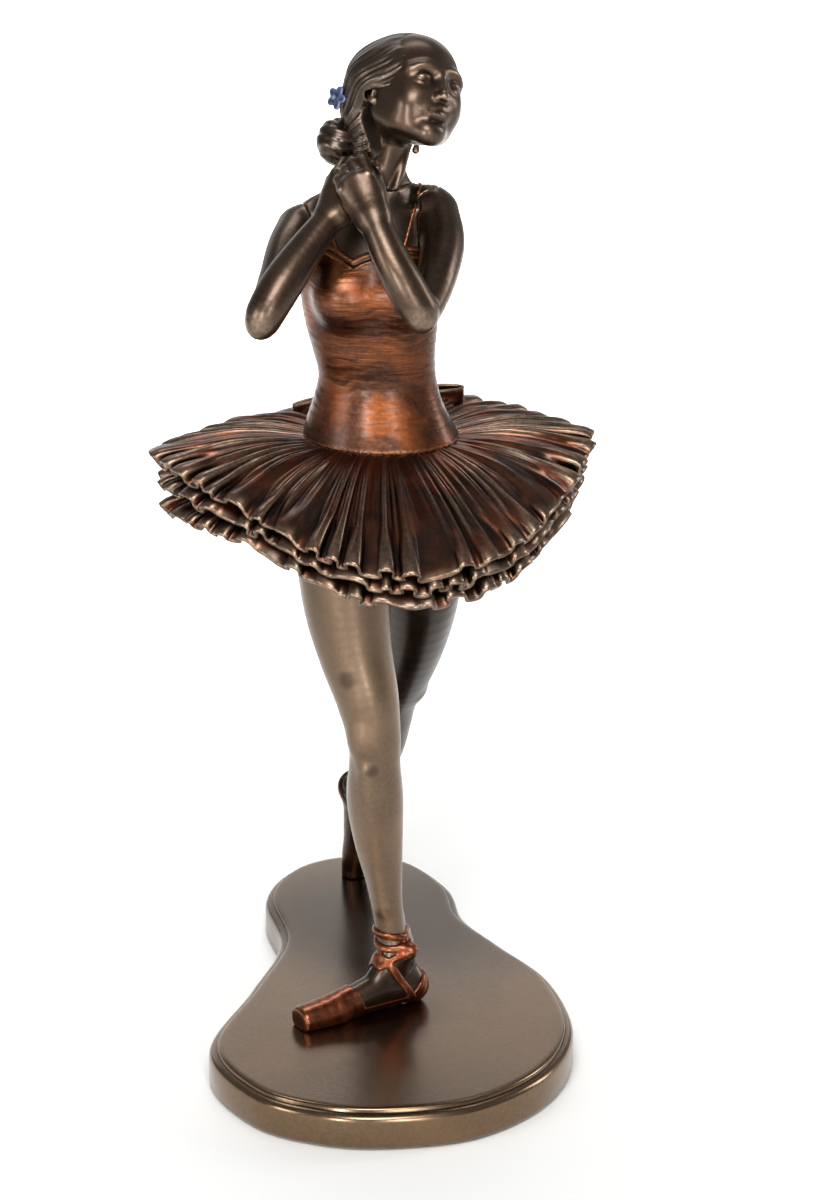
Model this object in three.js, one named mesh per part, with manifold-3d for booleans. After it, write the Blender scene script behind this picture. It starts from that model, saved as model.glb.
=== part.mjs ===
// A bronze ballerina statuette on a guitar-shaped plinth, as the separate castings and fixings it is assembled from.
// Millimetres, +Z up. The origin is the middle of the plinth's footprint, on the felt's underside. The dancer faces -Y.
import * as THREE from "three";
import { mergeVertices } from "three/addons/utils/BufferGeometryUtils.js";
import Module from "manifold-3d";

const wasm = await Module();
wasm.setup();

// ---- driving dimensions ----
const gap = 0.35; // clearance between castings that meet
const fineness = 0.12; // how far a casting's facets may stray from its true surface
const feltThickness = 1;
const plinthTop = 12;
const seamHeight = 174; // where the bodice meets the skirt and hips
const hipCut = 150; // where the thighs meet the hips
const neckCut = 244.5; // where the neck meets the shoulders
const headPlace = { centre: [9.8, -5, 268.4], turn: 34, tip: 24, roll: 16 };
const skirtCentre = [1, -3];

const finish = {
  tights: new THREE.MeshStandardMaterial({ color: 0x836c58, roughness: 0.38, metalness: 0.9 }),
  skin: new THREE.MeshStandardMaterial({ color: 0x4a382c, roughness: 0.34, metalness: 0.9 }),
  costume: new THREE.MeshStandardMaterial({ color: 0x5c2f1c, roughness: 0.36, metalness: 0.85 }),
  hair: new THREE.MeshStandardMaterial({ color: 0x483e37, roughness: 0.38, metalness: 0.9 }),
  plinth: new THREE.MeshStandardMaterial({ color: 0x75665a, roughness: 0.36, metalness: 0.9 }),
  flower: new THREE.MeshStandardMaterial({ color: 0x47587a, roughness: 0.45, metalness: 0.3 }),
  felt: new THREE.MeshStandardMaterial({ color: 0x1d2420, roughness: 1, metalness: 0 }),
  steel: new THREE.MeshStandardMaterial({ color: 0x9a9a9c, roughness: 0.35, metalness: 1 }),
};

// ---- solids ----
function solidOf(geometry) {
  const bare = geometry.clone();
  for (const name of ["normal", "uv"]) bare.deleteAttribute(name);
  const merged = mergeVertices(bare, 1e-4);
  return new wasm.Manifold(
    new wasm.Mesh({
      numProp: 3,
      vertProperties: new Float32Array(merged.attributes.position.array),
      triVerts: new Uint32Array(merged.index.array),
    }),
  );
}

function geometryOf(solid) {
  const mesh = solid.getMesh();
  const geometry = new THREE.BufferGeometry();
  geometry.setAttribute("position", new THREE.BufferAttribute(new Float32Array(mesh.vertProperties), 3));
  geometry.setIndex(new THREE.BufferAttribute(new Uint32Array(mesh.triVerts), 1));
  geometry.computeVertexNormals();
  return geometry;
}

const fuse = (...solids) => solids.reduce((whole, next) => whole.add(next));
// The largest body of a solid, without the slivers a clearance cut can leave.
const largest = (solid) => solid.decompose().sort((a, b) => b.volume() - a.volume())[0];

// Rings of equal point counts, skinned into one closed body with a point in the middle of each end.
function skin(rings) {
  const count = rings[0].length;
  const middle = (ring) => ring.reduce((sum, p) => sum.add(p), new THREE.Vector3()).divideScalar(count);
  const points = [...rings.flat(), middle(rings[0]), middle(rings.at(-1))];
  const first = points.length - 2;
  const faces = [];
  for (let r = 0; r < rings.length - 1; r++)
    for (let k = 0; k < count; k++) {
      const a = r * count + k;
      const b = r * count + ((k + 1) % count);
      faces.push(a, b, b + count, a, b + count, a + count);
    }
  const last = (rings.length - 1) * count;
  for (let k = 0; k < count; k++) {
    const next = (k + 1) % count;
    faces.push(first, next, k, first + 1, last + k, last + next);
  }
  const geometry = new THREE.BufferGeometry().setFromPoints(points);
  geometry.setIndex(faces);
  const made = solidOf(geometry);
  return made.volume() >= 0 ? made : solidOf(geometry.setIndex(faces.reverse()));
}

// A limb through stations [x, y, z, side, front, back]: half widths across, towards facing, and away from it.
// round says which ends get a domed tip. grow swells it all, for cutting a neighbour with clearance.
function limb(stations, { facing = [0, -1, 0], sides = 12, steps = 2, round = [false, false], grow = 0 } = {}) {
  const path = new THREE.CatmullRomCurve3(stations.map((s) => new THREE.Vector3(s[0], s[1], s[2])));
  const girth = new THREE.CatmullRomCurve3(stations.map((s) => new THREE.Vector3(s[3], s[4], s[5])));
  const towards = new THREE.Vector3(...facing);
  const spans = (stations.length - 1) * steps;
  const ringAt = (t, along, share) => {
    const tangent = path.getTangent(t).normalize();
    const front = towards.clone().addScaledVector(tangent, -towards.dot(tangent)).normalize();
    const side = new THREE.Vector3().crossVectors(tangent, front);
    const size = girth.getPoint(t).addScalar(grow);
    const centre = path.getPoint(t).addScaledVector(tangent, along);
    return Array.from({ length: sides }, (_, k) => {
      const angle = (2 * Math.PI * k) / sides;
      const depth = Math.sin(angle) > 0 ? size.y : size.z;
      return centre
        .clone()
        .addScaledVector(side, share * size.x * Math.cos(angle))
        .addScaledVector(front, share * depth * Math.sin(angle));
    });
  };
  const dome = (t, sign) => {
    const size = girth.getPoint(t).addScalar(grow);
    const reach = Math.min(size.x, size.y, size.z);
    return [45].map((degrees) => {
      const angle = (degrees * Math.PI) / 180;
      return ringAt(t, sign * reach * Math.sin(angle), Math.cos(angle));
    });
  };
  const rings = Array.from({ length: spans + 1 }, (_, k) =>
    ringAt(k / spans, k === 0 ? -grow : k === spans ? grow : 0, 1),
  );
  if (round[0]) rings.unshift(...dome(0, -1).reverse());
  if (round[1]) rings.push(...dome(1, 1));
  return skin(rings);
}

function ball(centre, halves, detail = 12) {
  const geometry = new THREE.SphereGeometry(1, detail, Math.round(detail * 0.6));
  return solidOf(geometry.scale(...halves).translate(...centre));
}

function block(low, high) {
  const size = high.map((h, i) => h - low[i]);
  const geometry = new THREE.BoxGeometry(...size);
  return solidOf(geometry.translate(...low.map((l, i) => l + size[i] / 2)));
}

function rod(radius, from, to, sides = 16) {
  const start = new THREE.Vector3(...from);
  const reach = new THREE.Vector3(...to).sub(start);
  const geometry = new THREE.CylinderGeometry(radius, radius, reach.length(), sides);
  geometry.applyQuaternion(
    new THREE.Quaternion().setFromUnitVectors(new THREE.Vector3(0, 1, 0), reach.clone().normalize()),
  );
  return solidOf(geometry.translate(...start.addScaledVector(reach, 0.5).toArray()));
}

// ---- plinth, felt and screws ----
const plinthOutline = [
  [-3, -86.5], [21, -82.5], [41.5, -65], [52, -38], [49.5, -5], [38.5, 20], [30, 40], [28, 62],
  [18, 82], [1, 88.5], [-17, 81], [-27, 60], [-25, 28], [-35.5, -3], [-49.5, -40], [-40, -69], [-22.5, -82.5],
];
const outlineCurve = new THREE.CatmullRomCurve3(
  plinthOutline.map(([x, y]) => new THREE.Vector3(x, y, 0)),
  true,
);
// The outline, moved inwards by inset at the height z.
function outlineRing(inset, z, count = 48) {
  return Array.from({ length: count }, (_, k) => {
    const point = outlineCurve.getPointAt(k / count);
    const tangent = outlineCurve.getTangentAt(k / count);
    return new THREE.Vector3(point.x - tangent.y * inset, point.y + tangent.x * inset, z);
  });
}
const outlineStack = (profile) => skin(profile.map(([inset, z]) => outlineRing(inset, z)));

const standingScrew = { at: [6.5, -18], shank: 1.5, head: 2.75, washer: 4, top: 27 };
const trailingScrew = { at: [0.2, 71.3], shank: 1, head: 1.9, washer: 3.2, top: 21 };
const pocketTop = 6.5;
const washerThickness = 0.8;
const headThickness = 2;

const plinthBody = outlineStack([
  [0.5, feltThickness], [0, feltThickness + 0.6], [0, 9.2], [0.6, 10.4], [1.9, 10.9], [2.3, 11.6], [3, plinthTop],
]);
const felt = outlineStack([[2.5, 0], [2.5, feltThickness]]);

const screwHole = (s) =>
  fuse(
    rod(s.washer + gap, [...s.at, 0], [...s.at, pocketTop]),
    rod(s.shank + gap, [...s.at, pocketTop - 1], [...s.at, s.top + gap]),
  );
const screwOf = (s) => {
  const under = pocketTop - washerThickness - gap;
  return fuse(
    rod(s.head, [...s.at, under - headThickness], [...s.at, under]),
    rod(s.shank, [...s.at, under - 0.5], [...s.at, s.top]),
  ).subtract(rod(s.head * 0.45, [...s.at, under - headThickness - 1], [...s.at, under - 0.8], 6));
};
const washerOf = (s) =>
  rod(s.washer, [...s.at, pocketTop - washerThickness], [...s.at, pocketTop]).subtract(
    rod(s.shank + 0.2, [...s.at, 0], [...s.at, pocketTop + 1]),
  );

// ---- legs ----
const standingLegStations = [
  [-8.6, -4, 156, 14, 13.5, 14], [-8.5, -6.5, 142, 13.4, 13, 13.5], [-8, -9, 128, 12, 11.6, 12.4],
  [-6.1, -12, 115, 10.2, 10, 10.6], [-3.2, -15, 103, 8.7, 9, 8.6], [-1.3, -16.5, 91, 7.1, 8.2, 7],
  [-1.2, -16, 83, 7.5, 6.8, 7.4], [-1, -15, 74, 8, 6, 9], [-0.3, -14.5, 62, 7.1, 5.6, 8.4],
  [1.2, -15.5, 49, 5.2, 4.8, 6], [2, -17, 41, 4.7, 4.6, 4.8], [3.2, -17.5, 32, 4.9, 4.8, 5], [5, -18, 24, 4.6, 5.2, 5],
];
const footFacing = [-0.9, -0.43, 0];
const standingLegLoft = (grow) => limb(standingLegStations, { facing: [-0.55, -0.83, 0], grow });

// The foot lies along footFacing: each row is how far from the heel, half width, height of the top and of the middle.
const heel = [13.2, -15, plinthTop];
const footRows = [
  [1.2, 3.6, 20.5, 16], [6, 4.8, 25, 17], [12, 5, 26.5, 17], [18, 5, 24.6, 16.5],
  [25, 5, 21.5, 15.5], [32, 4.7, 19.2, 15], [38, 3.9, 18, 14.9], [41.5, 3.1, 17.3, 14.8],
];
function standingFoot(grow, bare = 0) {
  const short = (far) => 21 + (far - 21) * (1 - bare / 20);
  const stations = footRows.map(([far, half, top, middle]) => [
    heel[0] + footFacing[0] * short(far),
    heel[1] + footFacing[1] * short(far),
    middle,
    half - bare,
    top - middle - bare,
    middle - plinthTop + 1,
  ]);
  const loft = limb(stations, { facing: [0, 0, 1], grow, steps: 2 });
  return loft.subtract(block([-60, -60, plinthTop - 20], [60, 60, plinthTop + bare]));
}

const trailingLegStations = [
  [11, 3, 156, 13.5, 13, 13.5], [12.5, 5, 142, 12.8, 12.4, 13.2], [13.8, 9.5, 126, 11.4, 11.2, 12],
  [12.8, 19, 108, 9.8, 9.4, 10.2], [10.5, 30, 92, 8.2, 8.4, 8.4], [8.9, 38, 82, 7.1, 7.6, 6.9],
  [7.8, 44, 73, 7.2, 6.3, 7.8], [6.6, 51, 62, 6.8, 5.6, 7.8], [5.4, 58.5, 51, 5.1, 4.6, 5.2], [4, 63.5, 43, 4.6, 4.4, 4.7],
];
const trailingFacing = [0.75, -0.6, 0.27];
const trailingLegLoft = (grow) => limb(trailingLegStations, { facing: trailingFacing, grow });
// On its toe: ankle, heel side, arch, ball and the flat of the toe box.
const trailingFootStations = [
  [2.8, 66, 47, 4.3, 4.2, 4.6], [1.8, 68.4, 40.5, 4.6, 4.8, 6.2], [2.2, 69.3, 33, 4.5, 5.4, 4.7], [2.2, 70, 27, 4.4, 5.1, 3.4],
  [1.2, 70.6, 20.5, 4.3, 4, 3.4], [0.4, 71.1, 15.5, 3.8, 3.4, 3.3], [0.2, 71.3, plinthTop - 1, 3.1, 2.8, 2.8],
];
function trailingFoot(grow, bare = 0) {
  const stations = trailingFootStations.map(([x, y, z, ...halves]) => [x, y, z, ...halves.map((h) => h - bare)]);
  const loft = limb(stations, { facing: trailingFacing, grow, steps: 2, round: [true, false] });
  return loft.subtract(block([-60, 20, -10], [60, 120, plinthTop + bare]));
}

const slipperWall = 1;
const underHips = block([-80, -80, 0], [80, 140, hipCut - gap]);
const standingLegWhole = (grow) => fuse(standingLegLoft(grow), standingFoot(grow, slipperWall));
const trailingLegWhole = (grow) => fuse(trailingLegLoft(grow), trailingFoot(grow, slipperWall));
const standingLeg = standingLegWhole(0).intersect(underHips).subtract(screwHole(standingScrew));
const trailingLeg = trailingLegWhole(0)
  .intersect(underHips)
  .subtract(standingLegWhole(gap))
  .subtract(screwHole(trailingScrew));

// A slipper is the foot's outside less the foot, open over the instep between the heel counter and the vamp.
function alongFoot(from, to, low, high) {
  const geometry = new THREE.BoxGeometry(to - from, 30, high - low);
  geometry.translate((from + to) / 2, 0, (low + high) / 2);
  geometry.rotateZ(Math.atan2(footFacing[1], footFacing[0]));
  return solidOf(geometry.translate(heel[0], heel[1], 0));
}
const standingSlipper = standingFoot(0)
  .subtract(standingLegWhole(gap))
  .subtract(alongFoot(3.2, 25, plinthTop + 5, 60))
  .subtract(alongFoot(-20, 25, plinthTop + 9, 60))
  .subtract(screwHole(standingScrew));
const instepOpening = limb([[9, 62, 44, 5, 5, 5], [7.5, 64.5, 33, 5, 5, 5], [6.5, 66, 25, 4, 4, 4]], { sides: 12 });
const trailingSlipper = trailingFoot(0)
  .subtract(trailingLegWhole(gap))
  .subtract(instepOpening)
  .subtract(block([-60, 20, 41], [60, 120, 90]))
  .subtract(screwHole(trailingScrew));

// Ribbons are bands round the ankle: one level and two that cross over the instep.
function band(centre, radius, lean, leanAbout, width) {
  const half = width / 2;
  const profile = [[radius, -half], [radius + 0.9, -half], [radius + 0.9, half], [radius, half], [radius, -half]];
  const geometry = new THREE.LatheGeometry(profile.map(([x, y]) => new THREE.Vector2(x, y)), 12);
  geometry.rotateX(Math.PI / 2);
  geometry.applyQuaternion(
    new THREE.Quaternion().setFromAxisAngle(new THREE.Vector3(...leanAbout).normalize(), (lean * Math.PI) / 180),
  );
  return solidOf(geometry.translate(...centre));
}
const standingRibbon = fuse(
  band([3.1, -17.4, 33], 5, 6, [0, 1, 0], 2.4),
  band([3.6, -17.6, 28.8], 5.3, 38, [0.43, -0.9, 0], 2.2),
  band([3.6, -17.6, 28.8], 5.3, -38, [0.43, -0.9, 0], 2.2),
)
  .subtract(standingLegWhole(gap))
  .subtract(alongFoot(-20, 25, 0, plinthTop + 9 + gap));
const trailingRibbon = fuse(
  band([3.4, 64.8, 45.4], 5, 30, [1, 0.3, 0], 2.4),
  band([3.3, 65.2, 43.6], 5.4, 52, [1, 0.5, 0], 2.2),
)
  .subtract(trailingLegWhole(gap))
  .subtract(trailingFoot(gap));

// ---- hips, torso and neck ----
const torsoStations = [
  [2, -3, seamHeight - 6, 21.4, 17, 18], [2, -3, seamHeight, 21, 16.6, 17.5], [1.4, -3, 179, 19.2, 15, 15.4], [0.9, -4, 185, 17, 12.8, 13],
  [0.8, -4, 192, 15.5, 11.6, 11.6], [-0.1, -5, 199, 16.1, 11.8, 11.6], [-0.7, -5, 206, 17.3, 13, 11.8],
  [-1, -5.5, 213, 18.4, 15.2, 12], [-1.2, -5.5, 219, 18.8, 15.6, 12.2], [-1.2, -5, 225, 18.4, 13.4, 12], [-1, -4.5, 231, 18.8, 10.4, 11],
  [-0.8, -4, 236, 17.6, 8.6, 9.8], [0.2, -4, 240, 14, 7, 8.2], [1.6, -4, 244, 8.4, 5.8, 6.4], [2.2, -4, 248, 5.2, 5.2, 5.4],
];
const chestTurn = [-0.26, -0.97, 0];
const torsoLoft = (grow) => limb(torsoStations, { facing: chestTurn, sides: 18, steps: 1, grow });
const torso = torsoLoft(0)
  .intersect(block([-60, -60, seamHeight], [60, 60, neckCut - gap]));

// The neckline dips to a point between the breasts and runs level round the back. lift moves the cut up.
function aboveNeckline(lift) {
  const dip = new THREE.Shape([
    new THREE.Vector2(-40, 225), new THREE.Vector2(-14, 230.5), new THREE.Vector2(-7, 227), new THREE.Vector2(4.5, 230.5),
    new THREE.Vector2(40, 225), new THREE.Vector2(40, 270), new THREE.Vector2(-40, 270),
  ]);
  const front = new THREE.ExtrudeGeometry(dip, { depth: 40, bevelEnabled: false });
  front.rotateX(Math.PI / 2);
  front.translate(0, -3, lift);
  return fuse(solidOf(front), block([-40, -4, 219 + lift], [40, 40, 270]));
}
const bodice = torso.subtract(aboveNeckline(-gap));
const chest = torso.intersect(aboveNeckline(0));
const necklineBand = torsoLoft(1.3)
  .subtract(torsoLoft(gap))
  .intersect(aboveNeckline(-gap - 2))
  .subtract(aboveNeckline(-gap));

const hipStations = [
  [1.5, -2, hipCut, 23.5, 16, 18.5], [1.6, -2.4, 158, 24, 17, 19.5], [1.8, -2.8, 166, 22.6, 17, 18.8], [2, -3, seamHeight, 21, 16.6, 17.5],
];
const hipsLoft = (grow) => limb(hipStations, { sides: 18, steps: 1, grow });
const hips = hipsLoft(0).intersect(block([-60, -60, hipCut], [60, 60, seamHeight - gap]));

// ---- head, hair, flower and earring ----
const headFrame = new THREE.Matrix4()
  .makeTranslation(...headPlace.centre)
  .multiply(new THREE.Matrix4().makeRotationZ((headPlace.turn * Math.PI) / 180))
  .multiply(new THREE.Matrix4().makeRotationX((-headPlace.tip * Math.PI) / 180))
  .multiply(new THREE.Matrix4().makeRotationY((headPlace.roll * Math.PI) / 180));
const inHead = (x, y, z) => new THREE.Vector3(x, y, z).applyMatrix4(headFrame).toArray();
// An ellipsoid in the head's own frame: x to her left, -y the way she faces, z through the crown.
function headPart(at, halves, grow = 0, detail = 12) {
  const geometry = new THREE.SphereGeometry(1, detail, Math.round(detail * 0.6));
  geometry.scale(...halves.map((h) => h + grow)).translate(...at);
  return solidOf(geometry.applyMatrix4(headFrame));
}
const neckLoft = (grow) =>
  limb([[2, -4, 240, 6.6, 5.6, 6], [2.2, -4, 248, 5.2, 5.2, 5.4], [4, -3.5, 256, 5.2, 5.6, 5.8], [7, -2.5, 264, 6, 6.4, 6.6]], { grow });
const skull = [[0, 1.2, 3.2], [11.8, 14.6, 13.4]];
const scalp = [[0, 1.8, 3.2], [12.9, 15.6, 14.4]];
function headWhole(grow) {
  return fuse(
    headPart(...skull, grow, 16),
    headPart([0, -4.6, -4.6], [8.8, 8.8, 10.8], grow, 14),
    headPart([0, -12.8, -3.4], [1.8, 3, 3.2], grow, 8),
    headPart([-11.2, 1, -1.6], [1.5, 2, 3.4], grow, 7),
    headPart([11.2, 1, -1.6], [1.5, 2, 3.4], grow, 7),
    neckLoft(grow),
  );
}
const head = headWhole(0).intersect(block([-60, -60, neckCut], [60, 60, 300]));

// Combed back hair: a cap over the skull behind the hairline, drawn down to the bun.
const behindHairline = (() => {
  const geometry = new THREE.BoxGeometry(60, 40, 60);
  geometry.rotateX((-28 * Math.PI) / 180).translate(0, 15.4, 11);
  return solidOf(geometry.applyMatrix4(headFrame));
})();
const bunAt = [-10, 15.8, -8];
const bunWhole = (grow) => headPart(bunAt, [5.2, 5, 6], grow, 12);
const hair = headPart(...scalp, 0, 16)
  .intersect(behindHairline)
  .subtract(headWhole(gap))
  .subtract(bunWhole(gap));
const flowerAt = [-10.8, 16.6, 3];
const petals = Array.from({ length: 5 }, (_, k) => {
  const angle = (2 * Math.PI * k) / 5;
  const offset = [1.9 * Math.cos(angle), 0.9 * Math.cos(angle), 1.9 * Math.sin(angle)];
  return headPart(flowerAt.map((v, i) => v + offset[i]), [1.5, 1.1, 1.5], 0, 6);
});
const flower = fuse(headPart(flowerAt, [1.5, 1.5, 1.5], 0, 6), ...petals)
  .subtract(bunWhole(gap))
  .subtract(headPart(...scalp, gap, 16));
const earringTop = inHead(12, 1.2, -5.6);
const earring = fuse(
  rod(0.45, [earringTop[0], earringTop[1], earringTop[2] - 2.4], earringTop, 6),
  ball([earringTop[0], earringTop[1], earringTop[2] - 3.2], [1.2, 1.2, 1.4], 8),
).subtract(headWhole(gap));

// ---- arms and hands ----
// A hand from the wrist: along its length, with its back towards back. curl bends each finger joint, in degrees.
function hand({ wrist, along, back, mirror, curl, grow }) {
  const far = new THREE.Vector3(...along).normalize();
  const up = new THREE.Vector3(...back);
  up.addScaledVector(far, -up.dot(far)).normalize();
  const across = new THREE.Vector3().crossVectors(far, up).multiplyScalar(mirror);
  const at = (x, y, z) =>
    new THREE.Vector3(...wrist).addScaledVector(across, x).addScaledVector(far, y).addScaledVector(up, z).toArray();
  const palm = limb(
    [[...at(0, -1, 0), 3.5, 2.7, 2.6], [...at(0.2, 5, 0), 5, 2.6, 2.8], [...at(0, 11, 0), 6, 2.3, 2.4], [...at(-0.1, 15, -0.2), 5.7, 1.9, 1.8]],
    { facing: up.toArray(), sides: 10, steps: 1, grow, round: [false, true] },
  );
  const fingers = [-4.6, -1.55, 1.55, 4.5].map((x, k) => {
    const lengths = [[4.2, 3, 2.8], [5.6, 3.9, 3.2], [6.2, 4.2, 3.3], [5.6, 3.7, 3.1]][k];
    const stations = [[...at(x, 13.8, 0), 1.6, 1.6, 1.6]];
    let bend = 0;
    let reach = [14.2, 0];
    lengths.forEach((length, joint) => {
      bend += (curl[joint] * Math.PI) / 180;
      reach = [reach[0] + length * Math.cos(bend), reach[1] - length * Math.sin(bend)];
      const girth = 1.5 - 0.14 * joint;
      stations.push([...at(x * (1 + 0.02 * joint), reach[0], reach[1]), girth, girth, girth]);
    });
    return limb(stations, { facing: across.toArray(), sides: 6, steps: 1, grow, round: [true, true] });
  });
  const thumb = limb(
    [[...at(3.4, 3.4, -0.8), 2.1, 2.1, 2.1], [...at(6, 8, -2), 1.8, 1.8, 1.8], [...at(6.6, 13.4, -3), 1.4, 1.4, 1.4]],
    { facing: across.toArray(), sides: 6, steps: 1, grow, round: [true, true] },
  );
  return fuse(palm, ...fingers, thumb);
}

const rightArmStations = [
  [-20.4, -4, 233.4, 6, 6.4, 6.6], [-23.6, -13, 230.2, 5.7, 6.4, 6], [-27.4, -24, 224, 5.2, 5.8, 5.4], [-31.6, -33.6, 217.6, 5.2, 5.8, 5.2],
  [-31.2, -36, 219.6, 6, 5.6, 5.6], [-26.2, -32.4, 226.6, 5.8, 5.6, 5.4], [-20, -27.6, 233.8, 4.9, 4.8, 4.6], [-14.6, -23.8, 239.6, 3.7, 3.6, 3.6],
  [-11, -21, 243.4, 3.3, 2.9, 2.9],
];
const leftArmStations = [
  [15.8, -5, 236, 6.2, 6.6, 6.6], [17, -14, 231, 5.8, 6.2, 6.2], [14.6, -25, 224.6, 5.2, 5.8, 5.4], [10.2, -34.4, 218.2, 5.2, 5.6, 5.2],
  [8.4, -37, 220.2, 6, 5.6, 5.6], [4.4, -36, 226, 5.9, 5.5, 5.4], [0.8, -33.4, 232, 4.8, 4.6, 4.6], [-1.6, -30.2, 237.6, 3.7, 3.3, 3.3],
];
const armOptions = { facing: [0.1, -0.7, -0.7], steps: 1, sides: 12, round: [true, false] };
const rightArmWhole = (grow) =>
  fuse(
    limb(rightArmStations, { ...armOptions, grow }),
    hand({ wrist: [-11.2, -21.1, 243.3], along: [0.5, 0.4, 0.77], back: [-0.3, -0.8, 0.5], mirror: -1, curl: [24, 30, 18], grow }),
  );
const leftArmWhole = (grow) =>
  fuse(
    limb(leftArmStations, { ...armOptions, grow }),
    hand({ wrist: [-1.6, -30.2, 237.6], along: [-0.27, 0.42, 0.87], back: [-0.1, -0.9, 0.42], mirror: 1, curl: [30, 40, 26], grow }),
  );
const leftArm = leftArmWhole(0).subtract(torsoLoft(gap)).subtract(headWhole(gap));
const rightArm = rightArmWhole(0).subtract(torsoLoft(gap)).subtract(headWhole(gap)).subtract(leftArmWhole(gap));

const bun = bunWhole(0).subtract(headWhole(gap)).subtract(rightArmWhole(gap)).subtract(leftArmWhole(gap));

// ---- straps and neckline trim ----
function strap(points) {
  const path = new THREE.CatmullRomCurve3(points.map((p) => new THREE.Vector3(...p)));
  const section = new THREE.Shape([
    new THREE.Vector2(-0.5, -0.8), new THREE.Vector2(0.5, -0.8), new THREE.Vector2(0.5, 0.8), new THREE.Vector2(-0.5, 0.8),
  ]);
  return solidOf(new THREE.ExtrudeGeometry(section, { extrudePath: path, steps: 14, bevelEnabled: false }));
}
const rightStrap = strap([[-12, -16.4, 229.4], [-12.6, -14, 233.6], [-12.8, -9.4, 239.2], [-12.2, -3, 240.8], [-11.6, 4, 237.6], [-11, 8, 230]]);
const leftStrap = strap([[8.4, -18, 229.2], [10, -15.4, 233.6], [11.6, -9.6, 239.4], [12.4, -3, 241], [11.8, 4, 237.6], [10.6, 8.2, 230]]);
const clearOfBody = (made) =>
  made
    .subtract(torsoLoft(gap))
    .subtract(rightArmWhole(gap))
    .subtract(leftArmWhole(gap));

const necklineTrim = largest(clearOfBody(necklineBand));

// ---- skirt ----
// The hem of the top layer, round from her left side: x, y, z, and how far the lowest layer hangs below it.
const hemline = [
  [59.5, -3, 171.5, 12], [50, -28, 165, 11], [33, -49, 157, 10], [9, -59, 153.5, 9.5], [-14, -54, 156, 9.5],
  [-35, -38, 164, 10], [-51, -22, 169.5, 13.5], [-60, -3, 171, 15.5], [-49, 12, 170.5, 13], [-32, 27, 169.5, 11],
  [-8, 38, 168.5, 9.5], [17, 39, 170, 9.5], [37, 29, 171.5, 9.5], [53, 13, 171, 11],
];
const hemCurve = new THREE.CatmullRomCurve3(hemline.map(([x, y, z]) => new THREE.Vector3(x, y, z)), true);
const fallCurve = new THREE.CatmullRomCurve3(hemline.map(([x, y, , fall]) => new THREE.Vector3(x, y, fall)), true);
// Each layer is a pleated flounce from the waist out to a waving hem. level is 0 for the top one, 1 for the lowest.
const pleats = 32;
const pleatHeight = 1.5;
const flounceThickness = 1.4;
function flounce(level) {
  const count = pleats * 2;
  const ring = (share, lower) =>
    Array.from({ length: count }, (_, k) => {
      const end = hemCurve.getPoint(k / count);
      const fall = fallCurve.getPoint(k / count).z;
      const angle = Math.atan2(end.y - skirtCentre[1], end.x - skirtCentre[0]);
      const clear = level ? 3.2 : 0.4;
      const start = new THREE.Vector3(
        2 + (22 + clear) * Math.cos(angle),
        -3 + (18.2 + clear) * Math.sin(angle),
        seamHeight - 1 - 9 * level,
      );
      end.x *= 1 - 0.05 * level;
      end.y *= 1 - 0.05 * level;
      end.z -= fall * level;
      const point = start.lerp(end, share);
      point.z += 2.5 * Math.sin(Math.PI * share) + pleatHeight * share * (k % 2 ? 1 : -1);
      if (lower) point.z -= flounceThickness;
      return point;
    });
  const shares = [0, 0.5, 1];
  return closedBand([...shares.map((s) => ring(s, false)), ...shares.reverse().map((s) => ring(s, true))]);
}
// Rings joined in turn and the last to the first, such as a flounce or a hoop.
function closedBand(rings) {
  const count = rings[0].length;
  const faces = [];
  rings.forEach((_, r) => {
    for (let k = 0; k < count; k++) {
      const next = ((r + 1) % rings.length) * count;
      const a = r * count + k;
      const b = r * count + ((k + 1) % count);
      const c = next + ((k + 1) % count);
      const d = next + k;
      faces.push(a, b, c, a, c, d);
    }
  });
  const geometry = new THREE.BufferGeometry().setFromPoints(rings.flat());
  geometry.setIndex(faces);
  const made = solidOf(geometry);
  return made.volume() >= 0 ? made : solidOf(geometry.setIndex(faces.reverse()));
}
const hipsRoom = fuse(hipsLoft(gap), torsoLoft(gap));

// The piping is a cord sewn round the waist seam.
const piping = torsoLoft(1.6)
  .subtract(torsoLoft(gap))
  .intersect(block([-60, -60, seamHeight + 0.5], [60, 60, seamHeight + 2]));

// ---- bow at the back of the waist ----
const bowCentre = [2, 17.6, 178];
const bowLoop = (sign) =>
  limb(
    [
      [bowCentre[0], bowCentre[1] + 0.6, bowCentre[2], 2, 1.4, 1.4],
      [bowCentre[0] + sign * 7, bowCentre[1] + 3, bowCentre[2] + 0.8, 3.2, 1.8, 1.8],
      [bowCentre[0] + sign * 15, bowCentre[1] + 4, bowCentre[2] + 1, 4, 2.2, 2.2],
      [bowCentre[0] + sign * 21.5, bowCentre[1] + 3.4, bowCentre[2] + 0.4, 3.2, 1.6, 1.6],
    ],
    { facing: [0, 1, 0], sides: 10, steps: 1, round: [false, true] },
  );
const bowTail = (sign) =>
  limb(
    [
      [bowCentre[0] + sign, bowCentre[1] + 2.4, bowCentre[2] - 0.5, 1.8, 1, 1],
      [bowCentre[0] + sign * 5, bowCentre[1] + 7, bowCentre[2] - 0.5, 3, 0.8, 0.8],
      [bowCentre[0] + sign * 9, bowCentre[1] + 15, bowCentre[2] - 0.6, 4, 0.8, 0.8],
    ],
    { facing: [0, 0, 1], sides: 8, steps: 1 },
  );
const bowKnot = ball([bowCentre[0], bowCentre[1] + 1.8, bowCentre[2]], [3.2, 2.8, 3.4], 10);
const bow = fuse(bowLoop(-1), bowLoop(1), bowTail(-1), bowTail(1), bowKnot)
  .subtract(torsoLoft(gap))
  .subtract(hipsLoft(gap));

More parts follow.
